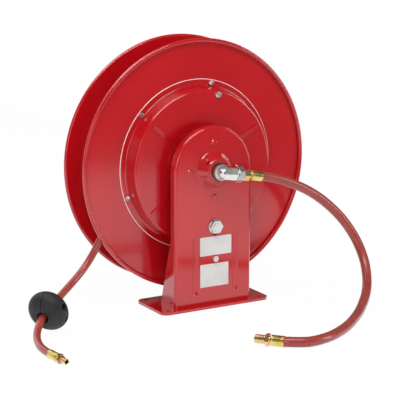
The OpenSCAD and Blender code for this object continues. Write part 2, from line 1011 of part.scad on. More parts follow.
// The power spring: a flat strip wound outwards from the arbor to the anchor bolt
spring_from = arbor_r + 2;
spring_eye_r = m8_r + 3.2;
spring_to = anchor_r - spring_eye_r + spring_t / 2;
spring_steps = spring_turns * 24;
spring_start = 0.01;
function spiral_r(k) =
  spring_from + (spring_to - spring_from) * pow(spring_start + (1 - spring_start) * k / spring_steps, 0.6);
function spiral_a(k) = -anchor_angle - 360 * (spring_steps - k) / 24;
function spiral_edge(side) = [for (k = [0:spring_steps])
  (spiral_r(k) + side * spring_t / 2) * [cos(spiral_a(k)), sin(spiral_a(k))]];

module power_spring() {
  outer = spiral_edge(1);
  inner = spiral_edge(-1);
  y = case_y + case_t + 3;
  tongue_r = bush_r + 1.5;
  color(steel)
    on_axis(y)
      linear_extrude(spring_w)
        difference() {
          union() {
            polygon(concat(outer, [for (k = [spring_steps:-1:0]) inner[k]]));
            rotate(-anchor_angle)
              translate([anchor_r, 0])
                circle(r = spring_eye_r);
            rotate(spiral_a(0))
              translate([tongue_r, -spring_t / 2])
                square([spiral_r(0) - tongue_r, spring_t]);
          }
          rotate(-anchor_angle)
            translate([anchor_r, 0])
              circle(r = m8_r + free_gap);
        }
}

// ---- Ratchet ----

// A notch in the wheel's rim, pointing along local Y
module ratchet_notch_2d(mouth) {
  root_r = ratchet_r - tooth_h;
  taper = 4;
  polygon([
    [-mouth - 1, ratchet_r + 2],
    [-mouth + taper, root_r],
    [mouth - taper, root_r],
    [mouth + 1, ratchet_r + 2]
  ]);
}

// The wide gap lets the pawl tip over; the narrow notches hold it
module ratchet_wheel() {
  wide = 33;
  narrow = 10;
  thick = ratchet_t + ratchet_lift;
  color(steel)
    on_axis(ratchet_y)
      difference() {
        union() {
          linear_extrude(ratchet_t)
            difference() {
              circle(r = ratchet_r);
              ratchet_notch_2d(wide);
              for (i = [1:notches - 1])
                rotate(i * 360 / notches)
                  ratchet_notch_2d(narrow);
            }
          cylinder(r = ratchet_seat_r, h = thick);
        }
        translate([0, 0, -eps])
          cylinder(r = arbor_r + sweep_gap, h = thick + 2 * eps);
        translate([0, 0, -eps])
          polar(4, ratchet_screw_r, 45)
            cylinder(r = m6_r + bolt_gap, h = thick + 2 * eps);
      }
}

module ratchet_screws() {
  nut_h = 3;
  color(zinc)
    on_axis(ratchet_y)
      polar(4, ratchet_screw_r, 45) {
        hex_screw(m6_r, m6_af, 4, ratchet_t + ratchet_lift + case_t + nut_h);
        translate([0, 0, ratchet_t + ratchet_lift + case_t])
          hexagon(m6_af, nut_h - 0.5);
      }
}

// ---- Shaft and hubs ----

riser_r = 8.5;
riser_seat = 12;
tail_r = 12;
tail_len = 20;
washer_t = 2;
shaft_nut_h = 12;
shaft_start = boss_y + 1;
shaft_stop = far_out + hub_plate_t;
groove_in = 2.1;

module main_shaft() {
  color(steel)
    difference() {
      union() {
        on_axis(spigot_end)
          cylinder(r = spigot_r, h = shaft_start - spigot_end);
        on_axis(shaft_start)
          cylinder(r = shaft_r, h = shaft_stop - shaft_start);
        on_axis(shaft_stop)
          cylinder(r = tail_r, h = tail_len);
      }
      on_axis(spigot_end - eps)
        cylinder(r = passage_r, h = mid_y - spigot_end + passage_r);
      translate([0, mid_y, axis_h])
        cylinder(r = passage_r, h = shaft_r + 1);
      translate([0, mid_y, axis_h + riser_seat])
        cylinder(r = riser_r + run_gap, h = shaft_r);
      for (y = seal_ys)
        on_axis(y - 1.4)
          ring(spigot_r + 1, spigot_r - groove_in, 2.8);
      on_axis(snap_y)
        ring(spigot_r + 1, spigot_r - 1.6, 1.5);
    }
}

module hub_plate(y) {
  color(steel)
    on_axis(y)
      difference() {
        ring(hub_plate_r, shaft_r + run_gap, hub_plate_t);
        translate([0, 0, -eps])
          polar(4, hub_bolt_r, 45)
            cylinder(r = m8_r + bolt_gap, h = hub_plate_t + 2 * eps);
      }
}

module front_hub_plate() {
  hub_plate(near_in);
}

module rear_hub_plate() {
  hub_plate(far_out);
}

module hub_bolts() {
  shank = disc_t + hub_plate_t + 7;
  nut_h = 6;
  color(zinc) {
    on_axis(near_out)
      polar(4, hub_bolt_r, 45) {
        hex_screw(m8_r, m8_af, 4, shank);
        translate([0, 0, disc_t + hub_plate_t])
          hexagon(m8_af, nut_h);
      }
    on_axis(shaft_stop)
      mirror([0, 0, 1])
        polar(4, hub_bolt_r, 45) {
          hex_screw(m8_r, m8_af, head_h, shank);
          translate([0, 0, disc_t + hub_plate_t])
            hexagon(m8_af, nut_h);
        }
  }
}

module shaft_washer() {
  color(zinc)
    on_axis(shaft_stop)
      ring(22, tail_r + bolt_gap, washer_t);
}

module shaft_nut() {
  color(zinc)
    on_axis(shaft_stop + washer_t)
      difference() {
        hexagon(36, shaft_nut_h);
        translate([0, 0, -eps])
          cylinder(r = tail_r + run_gap, h = shaft_nut_h + 2 * eps);
      }
}

// The pipe that takes the water from the shaft up through the drum
module riser_pipe() {
  color(steel)
    translate([0, mid_y, axis_h + riser_seat])
      ring(riser_r, passage_r, drum_r - riser_seat - 1);
}

module hose_core() {
  color(hose_red)
    on_axis(near_in)
      difference() {
        cylinder(r = core_r, h = far_in - near_in);
        translate([0, 0, -eps])
          cylinder(r = drum_r + free_gap, h = far_in - near_in + 2 * eps);
      }
}

module hose_winding() {
  color(hose_red)
    tube(wind_route, reel_hose_r, 6, [for (t = tangents(wind_route)) flatten_to([0, 1, 0], t)]);
}

// ---- Inlet swivel ----

seal_ys = [spigot_end + 5, spigot_end + 10];
snap_y = spigot_end + 15;

module swivel_elbow() {
  body_r = 13;
  collar_h = 11;
  face_groove = 3;
  tail_len = nut_end - 3 - elbow_end;
  color(zinc)
    difference() {
      union() {
        on_axis(collar_y - collar_h)
          difference() {
            cylinder(r = collar_r, h = collar_h);
            translate([0, 0, -eps])
              ring(collar_r - 2.4, body_r - 1, face_groove + eps);
          }
        on_axis(inlet_y)
          cylinder(r = body_r, h = collar_y - 5 - inlet_y);
        translate([0, inlet_y, axis_h])
          sphere(r = body_r + 0.3);
        on_inlet(-2)
          rotate([0, 0, 30])
            hexagon(elbow_af, elbow_end + 2);
        on_inlet(elbow_end - 5)
          cylinder(r = elbow_tail_r, h = tail_len + 5);
      }
      on_axis(spigot_end - socket_gap)
        cylinder(r = spigot_r + run_gap, h = collar_y - spigot_end + socket_gap + eps);
      on_axis(snap_y - 0.1)
        cylinder(r = spigot_r + 1.2, h = 1.7);
      on_inlet(0)
        cylinder(r = passage_r + 0.5, h = elbow_end + tail_len + eps);
    }
}

module swivel_seals() {
  seal_r = 0.98;
  color(black_rubber)
    for (y = seal_ys)
      on_axis(y)
        rotate_extrude()
          translate([spigot_r - 1, 0])
            circle(r = seal_r);
}

module swivel_snap_ring() {
  color(steel)
    on_axis(snap_y + 0.2)
      difference() {
        ring(spigot_r + 0.9, spigot_r - 1.4, 1.1);
        translate([0, -2, -eps])
          cube([spigot_r + 2, 4, 1.1 + 2 * eps]);
      }
}

module swivel_nut() {
  color(zinc)
    on_inlet(nut_start)
      difference() {
        hexagon(swivel_nut_af, nut_end - nut_start);
        translate([0, 0, -eps])
          cylinder(r = elbow_tail_r + run_gap, h = adapter_start - nut_start + eps);
        cylinder(r = neck_r + run_gap, h = nut_end - nut_start + eps);
      }
}

module inlet_adapter() {
  color(brass)
    on_inlet(adapter_start)
      difference() {
        union() {
          cylinder(r = neck_r, h = ferrule_start + ferrule_wall - adapter_start);
          translate([0, 0, hex_start - adapter_start])
            rotate([0, 0, 30])
              hexagon(inlet_hex_af, hex_end - hex_start);
        }
        translate([0, 0, -eps])
          cylinder(r = passage_r, h = hose_start);
      }
}

// A ferrule: its mouth is at z = 0 and its hose comes in from there
module ferrule(length, hose_d, neck) {
  difference() {
    cylinder(d = hose_d + 2 * free_gap + 2 * ferrule_t, h = length);
    translate([0, 0, -eps])
      cylinder(d = hose_d + 2 * free_gap, h = length - ferrule_wall + eps);
    cylinder(r = neck + run_gap, h = length + eps);
  }
}

module inlet_ferrule() {
  color(brass)
    on_inlet(ferrule_start + inlet_ferrule_len)
      mirror([0, 0, 1])
        ferrule(inlet_ferrule_len, inlet_hose_d, neck_r);
}

module inlet_hose() {
  color(hose_red)
    tube(inlet_route, inlet_hose_d / 2, 12, carried(inlet_route));
}

// A male end: neck, hexagon and pipe thread, with its neck's end at z = 0
module male_end(neck, af, thread_d, thread_len, bore) {
  neck_len = ferrule_wall + fit_neck_len;
  chamfer = 1.2;
  difference() {
    union() {
      cylinder(r = neck, h = neck_len + 1);
      translate([0, 0, neck_len])
        rotate([0, 0, 30])
          hexagon(af, fit_hex_len);
      translate([0, 0, neck_len + 1])
        cylinder(d = thread_d, h = fit_hex_len + thread_len - 1);
      translate([0, 0, neck_len + fit_hex_len + thread_len])
        cylinder(d1 = thread_d, d2 = thread_d - 2 * chamfer, h = chamfer);
    }
    translate([0, 0, -eps])
      cylinder(r = bore, h = neck_len + fit_hex_len + thread_len + chamfer + 2 * eps);
  }
}

module on_inlet_tip(back) {
  along(route_end(inlet_route) + back * route_dir(inlet_route), route_dir(inlet_route))
    children();
}

module inlet_end_ferrule() {
  color(brass)
    on_inlet_tip(free_gap + ferrule_wall - inlet_ferrule_len)
      ferrule(inlet_ferrule_len, inlet_hose_d, neck_r);
}

module inlet_end_fitting() {
  color(brass)
    on_inlet_tip(free_gap)
      male_end(neck_r, inlet_hex_af, inlet_thread_d, inlet_thread_len, passage_r + 0.5);
}

// ---- Free end of the reel hose ----

outlet_neck_r = 6.5;
outlet_bore_r = 4;

module outlet_hose() {
  color(hose_red)
    tube(outlet_route, reel_hose_r, 12, carried(outlet_route));
}

module on_outlet_tip(back) {
  along(route_end(outlet_route) + back * route_dir(outlet_route), route_dir(outlet_route))
    children();
}

module outlet_ferrule() {
  color(brass)
    on_outlet_tip(free_gap + ferrule_wall - outlet_ferrule_len)
      ferrule(outlet_ferrule_len, reel_hose_d, outlet_neck_r);
}

module outlet_fitting() {
  color(brass)
    on_outlet_tip(free_gap)
      male_end(outlet_neck_r, outlet_hex_af, outlet_thread_d, outlet_thread_len, outlet_bore_r);
}

// The stop ball is two halves, clamped round the hose by two bolts that run across it
ball_bolt_r = 3;
ball_bolt_af = 10;
ball_split = 1;
ball_pocket_r = 7;
ball_grip = 9;

module on_ball_bolts() {
  for (y = [-1, 1])
    translate([0, y * ball_bolt_off, 0])
      rotate([0, 90, 0])
        children();
}

module ball_half(side) {
  big = ball_d;
  mouth = 10;
  flare = 6;
  color(black_rubber)
    on_ball()
      difference() {
        intersection() {
          scale([1, 1, ball_high / ball_d])
            sphere(d = ball_d);
          translate([side > 0 ? ball_split / 2 : -ball_split / 2 - big, -big / 2, -ball_len / 2])
            cube([big, big, ball_len]);
        }
        translate([0, 0, -ball_len])
          cylinder(r = reel_hose_r + free_gap, h = 2 * ball_len);
        for (end = [0, 1])
          mirror([0, 0, end])
            translate([0, 0, ball_len / 2 - mouth])
              cylinder(r1 = reel_hose_r + free_gap, r2 = reel_hose_r + flare, h = mouth + eps);
        on_ball_bolts()
          mirror([0, 0, side > 0 ? 0 : 1]) {
            cylinder(r = ball_bolt_r + bolt_gap, h = big);
            translate([0, 0, ball_grip])
              cylinder(r = ball_pocket_r, h = big);
          }
      }
}

module stop_ball_right() {
  ball_half(-1);
}

module stop_ball_left() {
  ball_half(1);
}

module stop_ball_bolts() {
  head = 5;
  color(zinc)
    on_ball()
      on_ball_bolts() {
        translate([0, 0, -ball_grip])
          hex_screw(ball_bolt_r, ball_bolt_af, head, 2 * ball_grip + head + 1);
        translate([0, 0, ball_grip])
          hexagon(ball_bolt_af, head);
      }
}

base_plate();
pedestal();
upper_label();
lower_label();
spring_arbor();
arbor_bolts();
front_bush();
rear_bush();
latch_stud();
latch_nut();
latch_washer();
latch_spacer();
latch_clip();
latch_pawl();
latch_spring();
latch_hook_bolt();
front_disc();
rear_disc();
drum();
drum_bolts();
spring_case();
case_screws();
spring_anchor_bolt();
power_spring();
ratchet_wheel();
ratchet_screws();
main_shaft();
front_hub_plate();
rear_hub_plate();
hub_bolts();
shaft_washer();
shaft_nut();
riser_pipe();
hose_core();
hose_winding();
swivel_elbow();
swivel_seals();
swivel_snap_ring();
swivel_nut();
inlet_adapter();
inlet_ferrule();
inlet_hose();
inlet_end_ferrule();
inlet_end_fitting();
outlet_hose();
stop_ball_right();
stop_ball_left();
stop_ball_bolts();
outlet_ferrule();
outlet_fitting();
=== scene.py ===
import json
import math
import bmesh
import bpy
from mathutils import Matrix, Quaternion, Vector


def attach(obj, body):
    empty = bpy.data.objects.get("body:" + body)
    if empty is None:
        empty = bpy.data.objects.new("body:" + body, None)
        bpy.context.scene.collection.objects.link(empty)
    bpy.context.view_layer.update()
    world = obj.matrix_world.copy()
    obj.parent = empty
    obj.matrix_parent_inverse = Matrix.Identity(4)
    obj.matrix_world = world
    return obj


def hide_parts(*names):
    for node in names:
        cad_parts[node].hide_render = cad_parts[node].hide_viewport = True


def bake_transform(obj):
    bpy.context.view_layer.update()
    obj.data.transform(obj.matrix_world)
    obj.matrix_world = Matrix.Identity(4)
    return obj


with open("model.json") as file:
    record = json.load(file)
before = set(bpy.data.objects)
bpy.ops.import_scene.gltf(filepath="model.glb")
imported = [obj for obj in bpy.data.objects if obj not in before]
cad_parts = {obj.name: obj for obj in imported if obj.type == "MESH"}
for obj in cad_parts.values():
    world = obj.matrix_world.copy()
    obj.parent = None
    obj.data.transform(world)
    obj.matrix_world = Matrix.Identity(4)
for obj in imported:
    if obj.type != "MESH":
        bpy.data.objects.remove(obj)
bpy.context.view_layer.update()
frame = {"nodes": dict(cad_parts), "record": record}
nodes = frame["nodes"]
print("frame loaded:", len(nodes), "CAD nodes")

# the reel's own places, in metres, the same as in the part's source
reel = {
    "axisHeight": 0.320,
    "nearDisc": 0.036,  # inner face of the disc on the inlet side
    "farDisc": 0.1225,  # inner face of the other disc
    "drumRadius": 0.152,
    "inletPlane": -0.090,  # plane of the inlet's centre line
    "droop": 9.5,  # degrees that the inlet points down
}


def deselectAll():
    if bpy.context.object and bpy.context.object.mode != "OBJECT":
        bpy.ops.object.mode_set(mode="OBJECT")
    bpy.ops.object.select_all(action="DESELECT")


def pick(obj):
    deselectAll()
    obj.select_set(True)
    bpy.context.view_layer.objects.active = obj
    return obj


def named(obj, name):
    obj.name = name
    obj.data.name = name
    return obj


def settle(obj):
    # place, turn and scale go into the mesh, as on a CAD node
    pick(obj)
    bpy.ops.object.transform_apply(location=True, rotation=True, scale=True)
    return obj


def modified(obj, kind, **settings):
    pick(obj)
    modifier = obj.modifiers.new(kind.title(), kind)
    for key, value in settings.items():
        setattr(modifier, key, value)
    bpy.ops.object.modifier_apply(modifier=modifier.name)
    return obj


def smooth(obj, degrees):
    pick(obj)
    bpy.ops.object.shade_smooth_by_angle(angle=math.radians(degrees))
    return obj


def joined(first, *others):
    deselectAll()
    for other in others:
        other.select_set(True)
    first.select_set(True)
    bpy.context.view_layer.objects.active = first
    bpy.ops.object.join()
    return first


weld = {
    # corners closer than this, in metres, are one
    "node": 0.00002,
    "turned": 0.00001,
    "thread": 0.000005,
    "flat": 0.6,  # faces within this many degrees are one flat face
}


def copyOfNode(nodeName, pieceName, radius=0.0):
    # a CAD node's mesh is loose triangles: the copy is welded and its edges may be softened
    piece = nodes[nodeName].copy()
    piece.data = nodes[nodeName].data.copy()
    for key in list(piece.keys()):
        del piece[key]
    piece.parent = None
    piece.matrix_world = Matrix.Identity(4)
    bpy.context.collection.objects.link(piece)
    named(piece, pieceName)
    piece.modifiers.clear()
    pick(piece)
    bpy.ops.object.mode_set(mode="EDIT")
    bpy.ops.mesh.select_all(action="SELECT")
    bpy.ops.mesh.remove_doubles(threshold=weld["node"])
    bpy.ops.mesh.customdata_custom_splitnormals_clear()
    bpy.ops.mesh.dissolve_limited(angle_limit=math.radians(weld["flat"]))
    bpy.ops.object.mode_set(mode="OBJECT")
    if radius:
        softEdges(piece, radius)
    return ownNormals(piece)


def softEdges(obj, radius, sharp=40):
    # every edge sharper than this many degrees is rounded
    return modified(obj, "BEVEL", width=radius, segments=2, limit_method="ANGLE",
                    angle_limit=math.radians(sharp))


def roundWhere(obj, test, radius, segments):
    # the edges that pass the test become rounded
    pick(obj)
    bpy.ops.object.mode_set(mode="EDIT")
    bpy.ops.mesh.select_mode(type="EDGE")
    bpy.ops.mesh.select_all(action="DESELECT")
    bm = bmesh.from_edit_mesh(obj.data)
    for edge in bm.edges:
        edge.select = all(test(v.co) for v in edge.verts)
    found = any(edge.select for edge in bm.edges)
    bmesh.update_edit_mesh(obj.data)
    if found:
        bpy.ops.mesh.bevel(offset=radius, segments=segments, affect="EDGES", clamp_overlap=True)
    bpy.ops.object.mode_set(mode="OBJECT")
    return obj


def ownNormals(obj, degrees=35):
    smooth(obj, degrees)
    # the wide flat faces keep their own normals, and the small rounded edges take the turn
    return modified(obj, "WEIGHTED_NORMAL", mode="FACE_AREA", weight=100, keep_sharp=True)


def turned(name, profile, sides):
    # a lathe-turned body along +Z: one ring drawn out to each (height, radius) of the profile
    deselectAll()
    bpy.ops.mesh.primitive_circle_add(vertices=sides, radius=profile[0][1], fill_type="NOTHING",
                                      location=(0, 0, profile[0][0]))
    body = named(settle(bpy.context.object), name)
    bpy.ops.object.mode_set(mode="EDIT")
    bpy.ops.mesh.select_all(action="SELECT")
    for (z0, r0), (z1, r1) in zip(profile, profile[1:]):
        bpy.ops.mesh.extrude_region_move(TRANSFORM_OT_translate={"value": (0, 0, z1 - z0)})
        bpy.ops.transform.resize(value=(r1 / r0, r1 / r0, 1), center_override=(0, 0, z1))
    bpy.ops.mesh.select_all(action="SELECT")
    bpy.ops.mesh.remove_doubles(threshold=weld["turned"])
    bpy.ops.mesh.normals_make_consistent(inside=False)
    bpy.ops.object.mode_set(mode="OBJECT")
    return body


def hexagonAlongZ(name, acrossFlats, low, high, chamfer):
    deselectAll()
    bpy.ops.mesh.primitive_cylinder_add(
        vertices=6, radius=acrossFlats / math.sqrt(3), depth=high - low,
        location=(0, 0, (low + high) / 2), rotation=(0, 0, math.radians(30)))
    return softEdges(named(settle(bpy.context.object), name), chamfer)


threadForm = {
    # these four are shares of one pitch
    "flank": 0.42,
    "crest": 0.1,
    "root": 0.06,
    "depth": 0.6,
    "steps": 32,  # to a turn
}


def threadAlongZ(name, root, crest, pitch, low, turns):
    # one pitch of the thread, drawn point by point and swept up as a screw
    form = threadForm
    deselectAll()
    bpy.ops.mesh.primitive_plane_add(size=0.0001, location=(root, 0, low))
    thread = named(settle(bpy.context.object), name)
    bpy.ops.object.mode_set(mode="EDIT")
    bpy.ops.mesh.select_all(action="SELECT")
    bpy.ops.mesh.merge(type="CENTER")
    for outward, upward in ((crest - root, form["flank"]), (0, form["crest"]),
                            (root - crest, form["flank"]), (0, form["root"])):
        bpy.ops.mesh.extrude_region_move(
            TRANSFORM_OT_translate={"value": (outward, 0, upward * pitch)})
    bpy.ops.object.mode_set(mode="OBJECT")
    modified(thread, "SCREW", axis="Z", angle=math.tau, screw_offset=pitch, steps=form["steps"],
             render_steps=form["steps"], iterations=turns, use_merge_vertices=True,
             merge_threshold=weld["thread"])
    pick(thread)
    bpy.ops.object.mode_set(mode="EDIT")
    bpy.ops.mesh.select_all(action="SELECT")
    bpy.ops.mesh.remove_doubles(threshold=weld["thread"])
    bpy.ops.mesh.normals_make_consistent(inside=False)
    bpy.ops.object.mode_set(mode="OBJECT")
    return thread


def placedAlong(obj, start, direction):
    # +Z turns to the direction, and the origin goes to the start
    obj.location = start
    obj.rotation_mode = "QUATERNION"
    obj.rotation_quaternion = Vector(direction).to_track_quat("Z", "Y")
    return settle(obj)


cameraSettings = {
    "place": (-1.79431, -3.05896, 1.02476),
    "looksAlong": (0.492299, 0.843253, -0.215792),
    "roll": 0.108,  # degrees
    "lens": 141.778,
    "sensor": 36.0,
    "clip": (0.05, 60),
}


def addCamera(s):
    data = bpy.data.cameras.new("camera")
    data.lens = s["lens"]
    data.sensor_width = s["sensor"]
    data.clip_start, data.clip_end = s["clip"]
    camera = bpy.data.objects.new("camera", data)
    bpy.context.collection.objects.link(camera)
    camera.location = s["place"]
    facing = Vector(s["looksAlong"]).to_track_quat("-Z", "Y")
    facing = facing @ Quaternion((0, 0, 1), math.radians(s["roll"]))
    camera.rotation_euler = facing.to_euler()
    bpy.context.scene.camera = camera


addCamera(cameraSettings)
print("camera placed")


def droopPoint(distance):
    turn = math.radians(reel["droop"])
    return (distance * math.cos(turn), reel["inletPlane"],
            reel["axisHeight"] - distance * math.sin(turn))


def throughPoints(points, steps):
    # straight from the first point to the second and into the last one, smooth between
    points = [Vector(p) for p in points]
    line = [points[0]]
    for i in range(1, len(points) - 2):
        a, b, c, d = points[i - 1:i + 3]
        for k in range(steps):
            t = k / steps
            line.append(0.5 * (2 * b + (c - a) * t + (2 * a - 5 * b + 4 * c - d) * t * t
                               + (3 * b - a - 3 * c + d) * t ** 3))
    return line + points[-2:]


def lineLength(points):
    return sum((Vector(b) - Vector(a)).length for a, b in zip(points, points[1:]))


def tubeAlong(name, points, radius, sides):
    # a round section carried along a line of points, then made a mesh
    curve = bpy.data.curves.new(name, "CURVE")
    curve.dimensions = "3D"
    curve.twist_mode = "MINIMUM"
    curve.bevel_depth = radius
    curve.bevel_resolution = sides // 4 - 1
    curve.use_fill_caps = True
    spline = curve.splines.new("POLY")
    spline.points.add(len(points) - 1)
    for point, place in zip(spline.points, points):
        point.co = (place[0], place[1], place[2], 1)
    tube = bpy.data.objects.new(name, curve)
    bpy.context.collection.objects.link(tube)
    pick(tube)
    bpy.ops.object.convert(target="MESH")
    return smooth(named(bpy.context.object, name), 50)


inletHose = {
    "diameter": 0.0224,
    "start": 0.0733,  # along the drooping line, inside the ferrule
    "straight": 0.104,
    "route": [
        (0.153, -0.090, 0.2895), (0.2015, -0.090, 0.270), (0.2475, -0.090, 0.245),
        (0.289, -0.093, 0.2135), (0.324, -0.102, 0.176), (0.347, -0.120, 0.133),
        (0.352, -0.148, 0.0895), (0.338, -0.1815, 0.0525), (0.3095, -0.218, 0.0285),
        (0.274, -0.254, 0.016), (0.237, -0.2905, 0.012), (0.1985, -0.326, 0.0114),
        (0.1585, -0.3595, 0.0115), (0.115, -0.3885, 0.0115), (0.0675, -0.4105, 0.0115),
        (0.016, -0.417, 0.0115), (-0.0305, -0.3955, 0.013), (-0.048, -0.374, 0.013),
    ],
    "smoothing": 5,  # points from one place of the route to the next
    "sides": 24,
}

reelHose = {
    "diameter": 0.017,
    "turns": 4,
    "layers": 4,
    "leaves": 178,  # degrees at which the free end leaves the winding
    "nest": 0.9,  # each layer's height over the last, in diameters
    "climb": 0.5,  # share of a turn in which the hose steps up to the outer layer
    "gap": 0.0003,
    "steps": 48,  # points to a turn
    "woundSides": 12,
    "ball": (-0.4115, -0.0345, 0.04523),
    "throughBall": (-0.76300, -0.53300, -0.36600),
    "insideBall": (-0.030, -0.010, 0.010, 0.030),  # places along the ball's bore
    "straight": 1.5,  # diameters that the free end runs straight off the winding
    "toBall": [
        (-0.2105, 0.045, 0.252), (-0.222, 0.045, 0.215), (-0.240, 0.045, 0.174),
        (-0.262, 0.045, 0.137), (-0.288, 0.039, 0.108), (-0.323, 0.022, 0.086),
        (-0.356, 0.002, 0.071),
    ],
    "fromBall": [
        (-0.4565, -0.077, 0.022), (-0.4725, -0.1065, 0.0135), (-0.484, -0.140, 0.011),
        (-0.491, -0.169, 0.011), (-0.493, -0.193, 0.011), (-0.493, -0.217, 0.011),
        (-0.490, -0.247, 0.011),
    ],
    "smoothing": 5,
    "sides": 24,
}

hoseBed = {
    "ridges": 5,
    "steps": 10,  # rings to a ridge
    "roundness": 0.96,  # 1 would be a half circle on each ridge
    "sides": 96,
    "wall": 0.004,
}


def makeInletHose(s):
    start = [droopPoint(s["start"]), droopPoint(s["straight"])]
    line = throughPoints(start + s["route"], s["smoothing"])
    hose = tubeAlong("inletHose", line, s["diameter"] / 2, s["sides"])
    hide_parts("inlet_hose")
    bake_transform(hose)
    print("inlet hose:", round(lineLength(line), 3), "m")
    return hose, line


def windingPoint(angle, y, radius):
    a = math.radians(angle)
    return Vector((radius * math.cos(a), y, reel["axisHeight"] + radius * math.sin(a)))


def layerRadius(s, layer):
    return reel["drumRadius"] + s["diameter"] / 2 + layer * s["diameter"] * s["nest"]


def makeWinding(s):
    # the two outer layers as one hose: across to the far disc, a step up there, and back
    half = s["diameter"] / 2
    near = reel["nearDisc"] + half + s["gap"]
    far = reel["farDisc"] - half - s["gap"]
    top, low = layerRadius(s, s["layers"] - 1), layerRadius(s, s["layers"] - 2)
    steps = s["steps"]
    points = []
    start = s["leaves"] - 360 * s["turns"] * 2
    for k in range(s["turns"] * steps * 2 + 1):
        turn = k / steps
        angle = start + 360 * turn
        share = turn / s["turns"]
        if share <= 1:
            y = near + (far - near) * share
        else:
            y = far + (near - far) * (share - 1)
        climb = min(1, max(0, (turn - s["turns"] + s["climb"] / 2) / s["climb"]))
        radius = low + (top - low) * climb * climb * (3 - 2 * climb)
        points.append(windingPoint(angle, y, radius))
    leaves = math.radians(s["leaves"])
    out = Vector((-math.sin(leaves), 0, math.cos(leaves)))
    lastOnRound = points[-1]
    for k in (0.25, 0.5, 0.75, 1.0):  # one diameter, straight off the round
        points.append(lastOnRound + out * s["diameter"] * k)
    winding = tubeAlong("hoseWinding", points, half, s["woundSides"])
    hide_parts("hose_winding")
    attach(winding, "spool")
    print("winding:", s["turns"] * 2, "turns,", round(lineLength(points), 2), "m")
    return winding, points[-1], out


def makeHoseBed(s, hose):
    # the buried layers, as one sleeve with a ridge for each turn: a ring drawn out step by step
    axis = reel["axisHeight"]
    radius = layerRadius(hose, hose["layers"] - 3)
    near, far = reel["nearDisc"] + hose["gap"], reel["farDisc"] - hose["gap"]
    rings = s["ridges"] * s["steps"]
    places = []
    for k in range(rings + 1):
        across = (k % s["steps"]) / s["steps"] * 2 - 1
        ridge = hose["diameter"] / 2 * math.sqrt(1 - s["roundness"] * across ** 2)
        places.append((near + (far - near) * k / rings, radius + ridge))
    deselectAll()
    bpy.ops.mesh.primitive_circle_add(
        vertices=s["sides"], radius=places[0][1], fill_type="NOTHING",
        location=(0, places[0][0], axis), rotation=(math.pi / 2, 0, 0))
    bed = named(settle(bpy.context.object), "hoseBed")
    bpy.ops.object.mode_set(mode="EDIT")
    bpy.ops.mesh.select_all(action="SELECT")
    for (y0, r0), (y1, r1) in zip(places, places[1:]):
        bpy.ops.mesh.extrude_region_move(TRANSFORM_OT_translate={"value": (0, y1 - y0, 0)})
        bpy.ops.transform.resize(value=(r1 / r0, 1, r1 / r0), center_override=(0, y1, axis))
    bpy.ops.mesh.select_all(action="SELECT")
    bpy.ops.mesh.normals_make_consistent(inside=False)
    bpy.ops.object.mode_set(mode="OBJECT")
    modified(bed, "SOLIDIFY", thickness=s["wall"], offset=-1)
    smooth(bed, 50)
    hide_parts("hose_core")
    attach(bed, "spool")
    return bed


def makeReelHose(s, start, out):
    along = Vector(s["throughBall"]).normalized()
    inBall = [Vector(s["ball"]) + k * along for k in s["insideBall"]]
    free = [start, start + s["straight"] * s["diameter"] * out]
    line = throughPoints(free + s["toBall"] + inBall + s["fromBall"], s["smoothing"])
    hose = tubeAlong("reelHose", line, s["diameter"] / 2, s["sides"])
    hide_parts("outlet_hose")
    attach(hose, "frame")
    print("free stretch of the reel hose:", round(lineLength(line), 3), "m")
    return hose, line


inletHosePiece, inletHoseLine = makeInletHose(inletHose)
windingPiece, windingEnd, windingOut = makeWinding(reelHose)
hoseBedPiece = makeHoseBed(hoseBed, reelHose)
reelHosePiece, reelHoseLine = makeReelHose(reelHose, windingEnd, windingOut)


def linearColour(hexText):
    parts = [int(hexText[i:i + 2], 16) / 255 for i in (1, 3, 5)]
    return [c / 12.92 if c <= 0.04045 else ((c + 0.055) / 1.055) ** 2.4 for c in parts] + [1.0]


def addNode(tree, kind, settings=None, links=None):
    # settings name inputs or the node's own properties, and links name inputs
    node = tree.nodes.new(kind)
    for key, value in (settings or {}).items():
        if key in node.inputs:
            node.inputs[key].default_value = value
        else:
            setattr(node, key, value)
    for socket, source in (links or {}).items():
        tree.links.new(source, node.inputs[socket])
    return node


# a noise's scale is one over the size of its spots in metres
brass = {
    "shader": {"Metallic": 1.0, "Roughness": 0.2},
    "cloud": {"Scale": 45.0, "Detail": 2.0},  # dull patches of 22 mm
    "roughness": (0.14, 0.3),
    "grain": {"Scale": 1500.0, "Detail": 1.0},  # tool marks, 0.7 mm: coarser than real, to show
    "bump": {"Strength": 0.05, "Distance": 0.0002},
}

